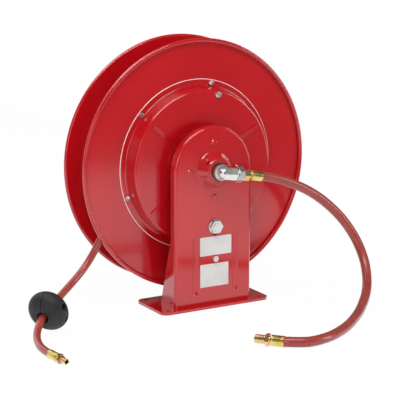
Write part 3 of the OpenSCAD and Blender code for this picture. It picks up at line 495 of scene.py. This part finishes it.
finishPlans = {
    # the cloud moves colour and roughness between their two ends, and the grain is the relief
    "redPowderCoat": {
        # polyester powder coat baked on pressed steel: deep gloss with a faint orange peel
        "name": "redPowderCoatEnamel",
        "shader": {"Roughness": 0.2, "IOR": 1.5, "Coat Weight": 1.0, "Coat Roughness": 0.12},
        "cloud": {"Scale": 9.0, "Detail": 2.0},  # thicker and thinner coat, 110 mm
        "colours": ("#bc0e18", "#c2101a"),
        "roughness": (0.14, 0.22),
        "grain": {"Scale": 380.0, "Detail": 1.0},  # orange peel, 2.6 mm
        "bump": {"Strength": 0.08, "Distance": 0.0004},
    },
    "zincPlate": {
        # bright zinc plate on steel: a cool white metal, slightly cloudy, with fine scratches
        "name": "brightZincPlatedSteel",
        "shader": {"Metallic": 1.0, "Roughness": 0.3},
        "cloud": {"Scale": 120.0, "Detail": 3.0},  # bath clouds, 8 mm
        "colours": ("#e6e8e8", "#f8f8f5"),
        "roughness": (0.22, 0.38),
        "grain": {"Scale": 900.0, "Detail": 2.0},  # scratches, 1.1 mm: coarser than real, to show
        "bump": {"Strength": 0.06, "Distance": 0.0002},
    },
    "bareSteel": {
        # cold drawn and turned steel under a film of oil: darker than zinc and a little streaked
        "name": "oiledColdDrawnSteel",
        "shader": {"Metallic": 1.0, "Roughness": 0.34},
        "streak": (600.0, 40.0, 600.0),  # streaks 1.7 mm wide and 25 mm long, to show
        "cloud": {"Scale": 1.0, "Detail": 3.0},
        "colours": ("#7d7f82", "#a0a2a4"),
        "roughness": (0.26, 0.44),
        "bump": {"Strength": 0.1, "Distance": 0.0002},
    },
    # turned brass: warm metal, a little duller in patches, with fine tool marks
    "brass": {**brass, "name": "turnedBrass", "colours": ("#e2b377", "#f8d4a2")},
    # drawn brass of the ferrules: the same metal, yellower
    "ferruleBrass": {**brass, "name": "drawnYellowBrass", "colours": ("#dfc35e", "#f5e396")},
    "paintedEdgeHighlight": {
        # painted highlight: pale pink on the flange's sheared edge stands for the light line that
        # the gloss catches there
        "name": "paintedHighlightOnFlangeEdge",
        "shader": {"Roughness": 0.2, "IOR": 1.5, "Coat Weight": 1.0, "Coat Roughness": 0.12},
        "cloud": {"Scale": 60.0, "Detail": 2.0},  # 17 mm
        "colours": ("#f0cfca", "#fbe6e2"),
        "bump": {"Strength": 0.05, "Distance": 0.0003},
    },
    "bronze": {
        # oil-filled sintered bronze: brown, matt and finely pored
        "name": "sinteredBronze",
        "shader": {"Metallic": 1.0, "Roughness": 0.5},
        "cloud": {"Scale": 1800.0, "Detail": 2.0},  # pores, 0.6 mm: coarser than real, to show
        "colours": ("#6f5228", "#9c7740"),
        "bump": {"Strength": 0.2, "Distance": 0.0002},
    },
    "hoseCover": {
        # extruded PVC and rubber cover, red-brown: satin, with a fine grain from the die
        "name": "extrudedHoseCover",
        "shader": {"Roughness": 0.28, "IOR": 1.5, "Coat Weight": 0.35, "Coat Roughness": 0.16,
                   "Subsurface Weight": 0.05, "Subsurface Radius": (0.004, 0.0015, 0.001)},
        "cloud": {"Scale": 30.0, "Detail": 2.0},  # handling marks, 33 mm
        "colours": ("#9c3a33", "#a8443b"),
        "roughness": (0.24, 0.34),
        "grain": {"Scale": 700.0, "Detail": 2.0},  # die grain, 1.4 mm: coarser than real, to show
        "bump": {"Strength": 0.12, "Distance": 0.0003},
    },
    "blackRubber": {
        # moulded natural rubber: charcoal, matt, with a fine moulded grain and a dusty bloom
        "name": "mouldedBlackRubber",
        "shader": {"Roughness": 0.58, "IOR": 1.5},
        "cloud": {"Scale": 45.0, "Detail": 3.0},  # bloom, 22 mm
        "colours": ("#1e1e1f", "#292829"),
        "roughness": (0.5, 0.66),
        "grain": {"Scale": 1100.0, "Detail": 2.0},  # mould grain, 0.9 mm
        "bump": {"Strength": 0.25, "Distance": 0.0003},
    },
    "labelVinyl": {
        # calendered white vinyl under a satin laminate, bare of print
        "name": "blankLabelVinyl",
        "shader": {"Roughness": 0.35, "IOR": 1.46},
        "cloud": {"Scale": 25.0, "Detail": 2.0},  # 40 mm
        "colours": ("#d2d3d1", "#dcdcda"),
        "grain": {"Scale": 500.0, "Detail": 1.0},  # glue lumps under the film, 2 mm
        "bump": {"Strength": 0.05, "Distance": 0.0002},
    },
}


def makeFinish(s):
    material = bpy.data.materials.new(s["name"])
    material.use_nodes = True
    tree = material.node_tree
    tree.nodes.clear()
    shader = addNode(tree, "ShaderNodeBsdfPrincipled", s["shader"])
    addNode(tree, "ShaderNodeOutputMaterial", links={"Surface": shader.outputs["BSDF"]})
    place = addNode(tree, "ShaderNodeTexCoord").outputs["Object"]
    if "streak" in s:
        drawn = addNode(tree, "ShaderNodeMapping", {"Scale": s["streak"]}, {"Vector": place})
        place = drawn.outputs["Vector"]
    cloud = addNode(tree, "ShaderNodeTexNoise", s["cloud"], {"Vector": place}).outputs["Fac"]
    tint = addNode(tree, "ShaderNodeValToRGB", links={"Fac": cloud})
    for element, position, hexText in zip(tint.color_ramp.elements, (0.3, 0.7), s["colours"]):
        element.color = linearColour(hexText)
        element.position = position
    tree.links.new(tint.outputs["Color"], shader.inputs["Base Color"])
    if "roughness" in s:
        low, high = s["roughness"]
        dulled = addNode(tree, "ShaderNodeMapRange", {"To Min": low, "To Max": high},
                         {"Value": cloud})
        tree.links.new(dulled.outputs["Result"], shader.inputs["Roughness"])
    grain = cloud
    if "grain" in s:
        grain = addNode(tree, "ShaderNodeTexNoise", s["grain"], {"Vector": place}).outputs["Fac"]
    relief = addNode(tree, "ShaderNodeBump", s["bump"], {"Height": grain})
    tree.links.new(relief.outputs["Normal"], shader.inputs["Normal"])
    return material


finishes = {finish: makeFinish(plan) for finish, plan in finishPlans.items()}

slotFinish = {
    "red_enamel": "redPowderCoat",
    "zinc_plate": "zincPlate",
    "steel": "bareSteel",
    "brass": "brass",
    "bronze": "bronze",
    "hose_rubber": "hoseCover",
    "black_rubber": "blackRubber",
    "label_film": "labelVinyl",
}


def painted(obj, finish):
    obj.data.materials.clear()
    obj.data.materials.append(finishes[finish])
    return obj


for hose in (inletHosePiece, windingPiece, hoseBedPiece, reelHosePiece):
    painted(hose, "hoseCover")

nodeSlot = {row["node"]: row["material_slot"] for row in frame["record"]["subparts"]}
bodyOf = {nodeName: body for body, names in frame["record"]["behaviour"]["bodies"].items()
          for nodeName in names}
for nodeName, node in nodes.items():
    for slot in node.material_slots:
        slot.material = finishes[slotFinish[nodeSlot[nodeName]]]
print("materials on", len(nodes), "CAD nodes")

softened = {
    # node: piece name, edge radius in metres
    "base_plate": ("basePlate", 0.0009),
    "swivel_elbow": ("swivelElbow", 0.0006),
    "swivel_nut": ("swivelNut", 0.0006),
    "inlet_adapter": ("inletAdapter", 0.0005),
    "latch_nut": ("latchNut", 0.0006),
    "latch_washer": ("latchWasher", 0.0003),
    "stop_ball_right": ("stopBallRight", 0.0012),
    "stop_ball_left": ("stopBallLeft", 0.0012),
    "ratchet_wheel": ("ratchetWheel", 0.0004),
    "case_screws": ("caseScrews", 0.0004),
    "spring_anchor_bolt": ("springAnchorBolt", 0.0004),
    "arbor_bolts": ("arborBolts", 0.0005),
}


def standsFor(piece, nodeName, rides=True):
    # the piece takes the node's finish and body, and the node is hidden
    painted(piece, slotFinish[nodeSlot[nodeName]])
    if rides:
        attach(piece, bodyOf[nodeName])
    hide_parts(nodeName)
    return piece


def softenNodes():
    return {nodeName: standsFor(copyOfNode(nodeName, pieceName, radius), nodeName)
            for nodeName, (pieceName, radius) in softened.items()}


dishedHead = {
    "rim": 0.0009,
    "slope": 0.0007,
    "depth": 0.0007,
    "reach": 0.0004,  # how far behind the foremost point a head's own face may lie
}


def dishHeads(piece, s):
    # upset bolt heads keep a raised rim round a shallow dish
    front = min(v.co.y for v in piece.data.vertices)
    pick(piece)
    bpy.ops.object.mode_set(mode="EDIT")
    bpy.ops.mesh.select_mode(type="FACE")
    bpy.ops.mesh.select_all(action="DESELECT")
    bm = bmesh.from_edit_mesh(piece.data)
    for face in bm.faces:
        face.select = face.normal.y < -0.99 and face.calc_center_median().y < front + s["reach"]
    bmesh.update_edit_mesh(piece.data)
    bpy.ops.mesh.inset(thickness=s["rim"], depth=0, use_even_offset=True)
    bpy.ops.mesh.inset(thickness=s["slope"], depth=-s["depth"], use_even_offset=True)
    bpy.ops.object.mode_set(mode="OBJECT")
    return ownNormals(piece)


springCase = {
    "faceRings": ((0.174, -0.001), (0.1768, 0.0002), (0.178, 0.003)),  # radius and y of each bend
    "faceRounding": (0.0012, 2),  # radius and segments
    "wallFoot": 0.184,
    "footRounding": (0.0030, 4),
    "flangeFront": 0.0324,
    "flangeRadius": 0.1986,
    "flangeRounding": (0.0014, 4),
    "near": 0.0004,  # how close a corner lies to a ring that it is on
    "paintedEdgeHighlight": (0.0015, 0.0016),  # the band of painted highlight, inward and backward from the flange's rim
}


def offAxis(place):
    return math.hypot(place.x, place.z - reel["axisHeight"])


def onRing(radius, y, near):
    return lambda place: abs(offAxis(place) - radius) < near and abs(place.y - y) < near


def makeSpringCase(s):
    # the pressed cover, with its drawn corners and the turned edge of its flange
    case = copyOfNode("spring_case", "springCase")
    for radius, y in s["faceRings"]:
        roundWhere(case, onRing(radius, y, s["near"]), *s["faceRounding"])
    for radius, rounding in ((s["wallFoot"], s["footRounding"]),
                             (s["flangeRadius"], s["flangeRounding"])):
        roundWhere(case, onRing(radius, s["flangeFront"], s["near"]), *rounding)
    ownNormals(case)
    standsFor(case, "spring_case")
    # a second finish paints a pale highlight on the flange's outer edge
    case.data.materials.append(finishes["paintedEdgeHighlight"])
    inward, backward = s["paintedEdgeHighlight"]
    for face in case.data.polygons:
        if (offAxis(face.center) > s["flangeRadius"] - inward
                and face.center.y < s["flangeFront"] + backward):
            face.material_index = 1


pedestal = {
    "face": -0.048,
    "grooveFloor": -0.045,
    "grooves": (-0.048, 0.058),
    "grooveEnds": (0.0385, 0.1615),  # centres of the grooves' round ends
    "grooveHalf": 0.0035,
    "mouthHalf": 0.0075,
    "mouthRounding": (0.0028, 4),  # radius and segments
    "floorHalf": 0.0024,
    "floorRounding": (0.0016, 4),
    "edges": (0.0008, 50),  # radius, and from how many degrees
    "near": 0.0002,  # how close a corner lies to the face or floor that it is on
    "nearRing": 0.0003,  # and to a groove's rim
}


def makePedestal(s):
    # the bent sheet: its pressed grooves open out in soft shoulders
    sheet = copyOfNode("pedestal", "pedestalSheet")
    low, high = s["grooveEnds"]
    levels = ((s["face"], s["mouthHalf"], s["mouthRounding"]),
              (s["grooveFloor"], s["floorHalf"], s["floorRounding"]))

    def spine(place):
        x = min(s["grooves"], key=lambda groove: abs(place.x - groove))
        return Vector((x, place.y, min(max(place.z, low), high)))

    def ringed(y, half):
        return lambda place: (abs(place.y - y) < s["near"]
                              and abs((place - spine(place)).length - half) < s["nearRing"])

    for y, half, _ in levels:
        for vertex in sheet.data.vertices:
            middle = spine(vertex.co)
            away = vertex.co - middle
            if abs(vertex.co.y - y) < s["near"] and away.length < s["grooveHalf"] + s["near"]:
                vertex.co = middle + away * (half / s["grooveHalf"])
    for y, half, rounding in levels:
        roundWhere(sheet, ringed(y, half), *rounding)
    softEdges(sheet, *s["edges"])
    ownNormals(sheet)
    standsFor(sheet, "pedestal")


powerSpring = {
    "turns": 9,
    "stepsPerTurn": 48,
    "inner": 0.026,
    "outer": 0.16155,
    "begin": 0.01,  # share of the spiral at which the first turn starts
    "spread": 0.6,  # under 1, the turns lie closer together outside
    "tongue": 0.0215,  # radius of its inner end
    "lap": 0.55,  # how far the tongue stays short of the first turn, in thicknesses
    "low": 0.004,
    "width": 0.025,
    "thickness": 0.0015,
    "anchorAngle": 77,
    "anchorRadius": 0.168,
    "eye": 0.00645,
    "eyeTurn": range(20, 321, 20),  # degrees round the anchor bolt
}


def stripAlong(name, flat, s):
    # a flat steel strip on edge: the line drawn in the disc's plane, given its width and thickness
    curve = bpy.data.curves.new(name, "CURVE")
    curve.dimensions = "2D"
    curve.fill_mode = "NONE"
    curve.extrude = s["width"] / 2
    spline = curve.splines.new("POLY")
    spline.points.add(len(flat) - 1)
    for point, place in zip(spline.points, flat):
        point.co = (place[0], place[1], 0, 1)
    strip = bpy.data.objects.new(name, curve)
    bpy.context.collection.objects.link(strip)
    strip.rotation_euler = (math.pi / 2, 0, 0)
    strip.location = (0, s["low"] + s["width"] / 2, reel["axisHeight"])
    pick(strip)
    bpy.ops.object.convert(target="MESH")
    strip = named(settle(bpy.context.object), name)
    modified(strip, "SOLIDIFY", thickness=s["thickness"], offset=0)
    return ownNormals(strip, 50)


def makePowerSpring(s):
    # nine turns, with an eye rolled round the anchor bolt; the tongue stays in the arbor's slot
    steps = s["turns"] * s["stepsPerTurn"]
    flat = []
    for k in range(steps + 1):
        angle = math.radians(s["anchorAngle"] + 360 * (steps - k) / s["stepsPerTurn"])
        share = (s["begin"] + (1 - s["begin"]) * k / steps) ** s["spread"]
        radius = s["inner"] + (s["outer"] - s["inner"]) * share
        flat.append((radius * math.cos(angle), radius * math.sin(angle)))
    start = Vector(flat[0])
    tongueEnds = (s["tongue"], start.length - s["lap"] * s["thickness"])
    tongue = [tuple(start.normalized() * radius) for radius in tongueEnds]
    a = math.radians(s["anchorAngle"])
    out, across = Vector((math.cos(a), math.sin(a))), Vector((-math.sin(a), math.cos(a)))
    for degrees in s["eyeTurn"]:
        turn = math.radians(degrees)
        spoke = math.cos(turn) * out + math.sin(turn) * across
        flat.append(tuple(s["anchorRadius"] * out - s["eye"] * spoke))
    standsFor(stripAlong("powerSpring", flat, s), "power_spring")
    held = standsFor(stripAlong("powerSpringTongue", tongue, s), "power_spring", rides=False)
    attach(held, "frame")


latchSpring = {
    "tail": (0.0135282, 0.172142),  # x and z of the pawl's end
    "hook": (0.004, 0.112),
    "y": -0.0155,
    "coil": 0.0045,
    "wire": 0.0008,
    "turns": 11,
    "stepsPerTurn": 24,
    "from": 0.0092,  # the coil's ends, along the pull
    "to": 0.0496925,
    "length": 0.0608925,
    "tailLoop": 0.0032,
    "hookLoop": 0.0052,
    "loopTurn": range(-60, 141, 20),  # degrees
}


def makeLatchSpring(s):
    # tension spring: a close helix with a loop turned up at each end
    tail, hook = Vector(s["tail"]), Vector(s["hook"])
    pull = (hook - tail).normalized()
    side = Vector((-pull.y, pull.x))

    def at(along, across, y):
        place = tail + along * pull + across * side
        return (place.x, s["y"] + y, place.y)

    def loop(middle, outward, radius, turn):
        angles = [math.radians(degrees) for degrees in turn]
        return [at(middle + outward * radius * math.cos(a), radius * math.sin(a), 0)
                for a in angles]

    line = loop(0, -1, s["tailLoop"], s["loopTurn"])
    steps = s["turns"] * s["stepsPerTurn"]
    for k in range(steps + 1):
        a = math.tau * k / s["stepsPerTurn"]
        along = s["from"] + (s["to"] - s["from"]) * k / steps
        line.append(at(along, s["coil"] * math.cos(a), s["coil"] * math.sin(a)))
    line += loop(s["length"], 1, s["hookLoop"], s["loopTurn"][::-1])
    spring = tubeAlong("latchSpring", line, s["wire"], 12)
    standsFor(spring, "latch_spring", rides=False)
    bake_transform(spring)


fittings = {
    # thread: outer diameter, pitch and turns; heights are from the neck's inner end
    "inlet_end_fitting": {
        "name": "inletEndFitting", "thread": 0.0213, "pitch": 0.001814, "turns": 10,
        "flats": 0.0254, "neck": 0.009, "bore": 0.0065, "length": 0.020,
    },
    "outlet_fitting": {
        "name": "outletFitting", "thread": 0.0137, "pitch": 0.001411, "turns": 12,
        "flats": 0.019, "neck": 0.0065, "bore": 0.004, "length": 0.018,
    },
}

fittingForm = {
    "neckLength": 0.005,
    "hexLength": 0.012,
    "collar": 0.003,  # the round step between the hexagon and the thread
    "threadIn": 0.0014,  # how far down in that step the thread starts
    "hexChamfer": 0.0009,
    "hexFill": 0.98,  # the core's share of the hexagon's half width
    "collarFill": 0.97,  # and of the thread's crest
    "hexBore": 0.9,  # the hexagon's bore, as a share of the neck
    "step": 0.001,
    "lead": (0.0005, 0.0001),  # where the mouth begins, below the top and over the root
    "chamfer": 0.0012,
    "mouthUnder": 0.0006,  # the mouth's outside is this far under the root
    "mouthFlare": 0.0008,  # and its inside this much wider than the bore
    "gap": 0.0003,
    "sides": 40,
}


def boreTool(radius, low, high):
    deselectAll()
    bpy.ops.mesh.primitive_cylinder_add(vertices=fittingForm["sides"], radius=radius,
                                        depth=high - low, location=(0, 0, (low + high) / 2))
    return settle(bpy.context.object)


def makeFitting(nodeName, s, line):
    # male hose end: neck in the ferrule, a hexagon with a collar, and a pipe thread with its mouth
    form = fittingForm
    hexLow, hexHigh = form["neckLength"], form["neckLength"] + form["hexLength"]
    hexTop = hexHigh - form["collar"]
    top = hexHigh + s["length"]
    mouth = top + form["chamfer"]
    crest = s["thread"] / 2
    root = crest - threadForm["depth"] * s["pitch"]
    inHex = s["flats"] / 2 * form["hexFill"]
    below, over = form["lead"]
    core = turned(s["name"], [
        (0, s["bore"]),
        (0, s["neck"]),
        (hexLow + form["step"], s["neck"]),
        (hexLow + form["step"], inHex),
        (hexTop, inHex),
        (hexTop, crest * form["collarFill"]),
        (hexHigh - form["step"], root),
        (top - below, root + over),
        (mouth, root - form["mouthUnder"]),
        (mouth, s["bore"] + form["mouthFlare"]),
        (mouth - form["step"], s["bore"]),
        (0, s["bore"]),
    ], form["sides"])
    nut = hexagonAlongZ("fittingHex", s["flats"], hexLow, hexTop, form["hexChamfer"])
    tool = boreTool(s["neck"] * form["hexBore"], -0.01, 0.05)
    modified(nut, "BOOLEAN", operation="DIFFERENCE", solver="EXACT", object=tool)
    bpy.data.objects.remove(tool)
    threadLow = hexHigh - form["threadIn"]
    thread = threadAlongZ("fittingThread", root, crest, s["pitch"], threadLow, s["turns"])
    fitting = named(joined(core, nut, thread), s["name"])
    end, before = Vector(line[-1]), Vector(line[-2])
    along = (end - before).normalized()
    placedAlong(fitting, end + form["gap"] * along, along)
    ownNormals(fitting, 30)
    return standsFor(fitting, nodeName)


ferrules = {
    "inlet_end_ferrule": {
        "name": "inletEndFerrule", "length": 0.030, "inner": 0.0112, "neck": 0.009, "wall": 0.001},
    "outlet_ferrule": {
        "name": "outletFerrule", "length": 0.032, "inner": 0.0085, "neck": 0.0065, "wall": 0.001},
    "inlet_ferrule": {
        "name": "inletFerrule", "length": 0.030, "inner": 0.0112, "neck": 0.009, "wall": 0.001},
}

ferruleForm = {
    "past": 0.0023,  # how far it stands past the hose's end
    "lip": 0.0004,
    "rounding": 0.0012,
    "floor": 0.001,
    "clear": 0.0001,  # round the fitting's neck
    "rings": (0.0035, 0.0045),  # from each end
    "ringHalf": (0.0003, 0.0006),  # of its bottom and of its mouth
    "ringDepth": 0.0002,
    "sides": 48,
}


def makeFerrule(nodeName, s, end, along):
    # drawn brass cup, swaged smooth: a fine ring rolled in near each end, and rounded lips
    form = ferruleForm
    low, outer = -s["length"], s["inner"] + s["wall"]
    lip, mouth = form["lip"], s["neck"] + form["clear"]
    bottom, edge = form["ringHalf"]
    profile = [(low, s["inner"]), (low, outer - lip), (low + lip, outer)]
    for z in (low + form["rings"][0], -form["rings"][1]):
        profile += [(z - edge, outer), (z - bottom, outer - form["ringDepth"]),
                    (z + bottom, outer - form["ringDepth"]), (z + edge, outer)]
    profile += [(-form["rounding"], outer), (-lip, outer - lip), (0, outer - form["rounding"]),
                (0, mouth), (-form["floor"], mouth), (-form["floor"], s["inner"]),
                (low, s["inner"])]
    cup = turned(s["name"], profile, form["sides"])
    placedAlong(cup, end + form["past"] * along, along)
    ownNormals(cup, 40)
    standsFor(cup, nodeName)
    return painted(cup, "ferruleBrass")


softPieces = softenNodes()
for nodeName in ("case_screws", "spring_anchor_bolt"):
    dishHeads(softPieces[nodeName], dishedHead)
print("edges softened on", len(softPieces), "pieces")
makeSpringCase(springCase)
makePedestal(pedestal)
print("case and pedestal pressed")
makePowerSpring(powerSpring)
makeLatchSpring(latchSpring)
print("springs wound")

for nodeName, line in (("inlet_end_fitting", inletHoseLine), ("outlet_fitting", reelHoseLine)):
    makeFitting(nodeName, fittings[nodeName], line)
for nodeName, line in (("inlet_end_ferrule", inletHoseLine), ("outlet_ferrule", reelHoseLine),
                       ("inlet_ferrule", inletHoseLine[::-1])):
    along = (Vector(line[-1]) - Vector(line[-2])).normalized()
    makeFerrule(nodeName, ferrules[nodeName], Vector(line[-1]), along)
print("fittings turned")


studio = {
    "floorLeft": -6.0,
    "floorRight": 0.8,  # past this edge and the front one, gloss shows the dim room
    "floorFront": -1.45,
    "floorBack": 6.0,  # the sweep rises here
    "floorHeight": -0.0002,
    "sweepHeight": 5.0,
    "paper": (0.9, 0.9, 0.9, 1),
    "white": 0.97,  # share of plain white in the paper that the camera and gloss see
    "dimRoom": 0.12,  # how bright the room looks in gloss
    "world": 0.5,  # how brightly the room lights the object
}


def makeWorld(s):
    world = bpy.data.worlds.new("studioRoom")
    bpy.context.scene.world = world
    world.use_nodes = True
    tree = world.node_tree
    tree.nodes.clear()
    rays = addNode(tree, "ShaderNodeLightPath")
    seen = addNode(tree, "ShaderNodeMath", {"operation": "MAXIMUM"})
    tree.links.new(rays.outputs["Is Camera Ray"], seen.inputs[0])
    tree.links.new(rays.outputs["Is Transmission Ray"], seen.inputs[1])
    room = addNode(tree, "ShaderNodeBackground", {"Color": (1, 1, 1, 1), "Strength": s["world"]})
    dim = addNode(tree, "ShaderNodeBackground", {"Color": (1, 1, 1, 1), "Strength": s["dimRoom"]})
    white = addNode(tree, "ShaderNodeBackground", {"Color": (1, 1, 1, 1), "Strength": 1.0})
    inGloss = addNode(tree, "ShaderNodeMixShader", links={"Fac": rays.outputs["Is Glossy Ray"]})
    tree.links.new(room.outputs[0], inGloss.inputs[1])
    tree.links.new(dim.outputs[0], inGloss.inputs[2])
    shown = addNode(tree, "ShaderNodeMixShader", links={"Fac": seen.outputs[0]})
    tree.links.new(inGloss.outputs[0], shown.inputs[1])
    tree.links.new(white.outputs[0], shown.inputs[2])
    addNode(tree, "ShaderNodeOutputWorld", links={"Surface": shown.outputs[0]})


def makeFloor(s):
    deselectAll()
    middle = ((s["floorLeft"] + s["floorRight"]) / 2, (s["floorFront"] + s["floorBack"]) / 2)
    bpy.ops.mesh.primitive_plane_add(size=1, location=(*middle, s["floorHeight"]))
    floor = bpy.context.object
    floor.scale = (s["floorRight"] - s["floorLeft"], s["floorBack"] - s["floorFront"], 1)
    settle(floor)
    bpy.ops.object.mode_set(mode="EDIT")
    bpy.ops.mesh.select_mode(type="EDGE")
    bpy.ops.mesh.select_all(action="DESELECT")
    bm = bmesh.from_edit_mesh(floor.data)
    for edge in bm.edges:
        edge.select = all(v.co.y > s["floorBack"] - 0.01 for v in edge.verts)
    bmesh.update_edit_mesh(floor.data)
    bpy.ops.mesh.extrude_region_move(TRANSFORM_OT_translate={"value": (0, 0, s["sweepHeight"])})
    bpy.ops.object.mode_set(mode="OBJECT")
    named(floor, "studioFloor")
    material = bpy.data.materials.new("whiteSweep")
    material.use_nodes = True
    tree = material.node_tree
    tree.nodes.clear()
    paper = addNode(tree, "ShaderNodeBsdfDiffuse", {"Color": s["paper"]})
    glow = addNode(tree, "ShaderNodeEmission", {"Color": (1, 1, 1, 1), "Strength": 1.0})
    rays = addNode(tree, "ShaderNodeLightPath")
    bare = addNode(tree, "ShaderNodeMath", {"operation": "MAXIMUM"})
    tree.links.new(rays.outputs["Is Camera Ray"], bare.inputs[0])
    tree.links.new(rays.outputs["Is Glossy Ray"], bare.inputs[1])
    share = addNode(tree, "ShaderNodeMapRange", {"To Min": 0.0, "To Max": s["white"]},
                    {"Value": bare.outputs[0]})
    mix = addNode(tree, "ShaderNodeMixShader", links={"Fac": share.outputs["Result"]})
    tree.links.new(paper.outputs[0], mix.inputs[1])
    tree.links.new(glow.outputs[0], mix.inputs[2])
    addNode(tree, "ShaderNodeOutputMaterial", links={"Surface": mix.outputs[0]})
    floor.data.materials.append(material)


lampTarget = (-0.02, 0.0, 0.3)

lamps = {
    "key": {"place": (-0.55, -1.25, 2.75), "size": (2.2, 0.8), "turn": 12, "power": 38},
    "front": {"place": (-2.1, -2.3, 0.9), "size": (1.6, 1.4), "turn": 0, "power": 12},
    "side": {"place": (2.3, -1.6, 0.7), "size": (0.3, 1.8), "turn": 0, "power": 15},
    "top": {"place": (-0.88, 1.15, 2.35), "size": (1.8, 1.4), "turn": 0, "power": 22},
}


def addLamps(settings):
    for name, s in settings.items():
        data = bpy.data.lights.new(name, "AREA")
        data.shape = "RECTANGLE"
        data.size, data.size_y = s["size"]
        data.energy = s["power"]
        lamp = bpy.data.objects.new(name, data)
        bpy.context.collection.objects.link(lamp)
        lamp.location = s["place"]
        aimed = (Vector(lampTarget) - Vector(s["place"])).to_track_quat("-Z", "Y")
        lamp.rotation_euler = (aimed @ Quaternion((0, 0, 1), math.radians(s["turn"]))).to_euler()


makeWorld(studio)
makeFloor(studio)
addLamps(lamps)
bpy.context.scene.view_settings.view_transform = "Standard"
print("studio lit")
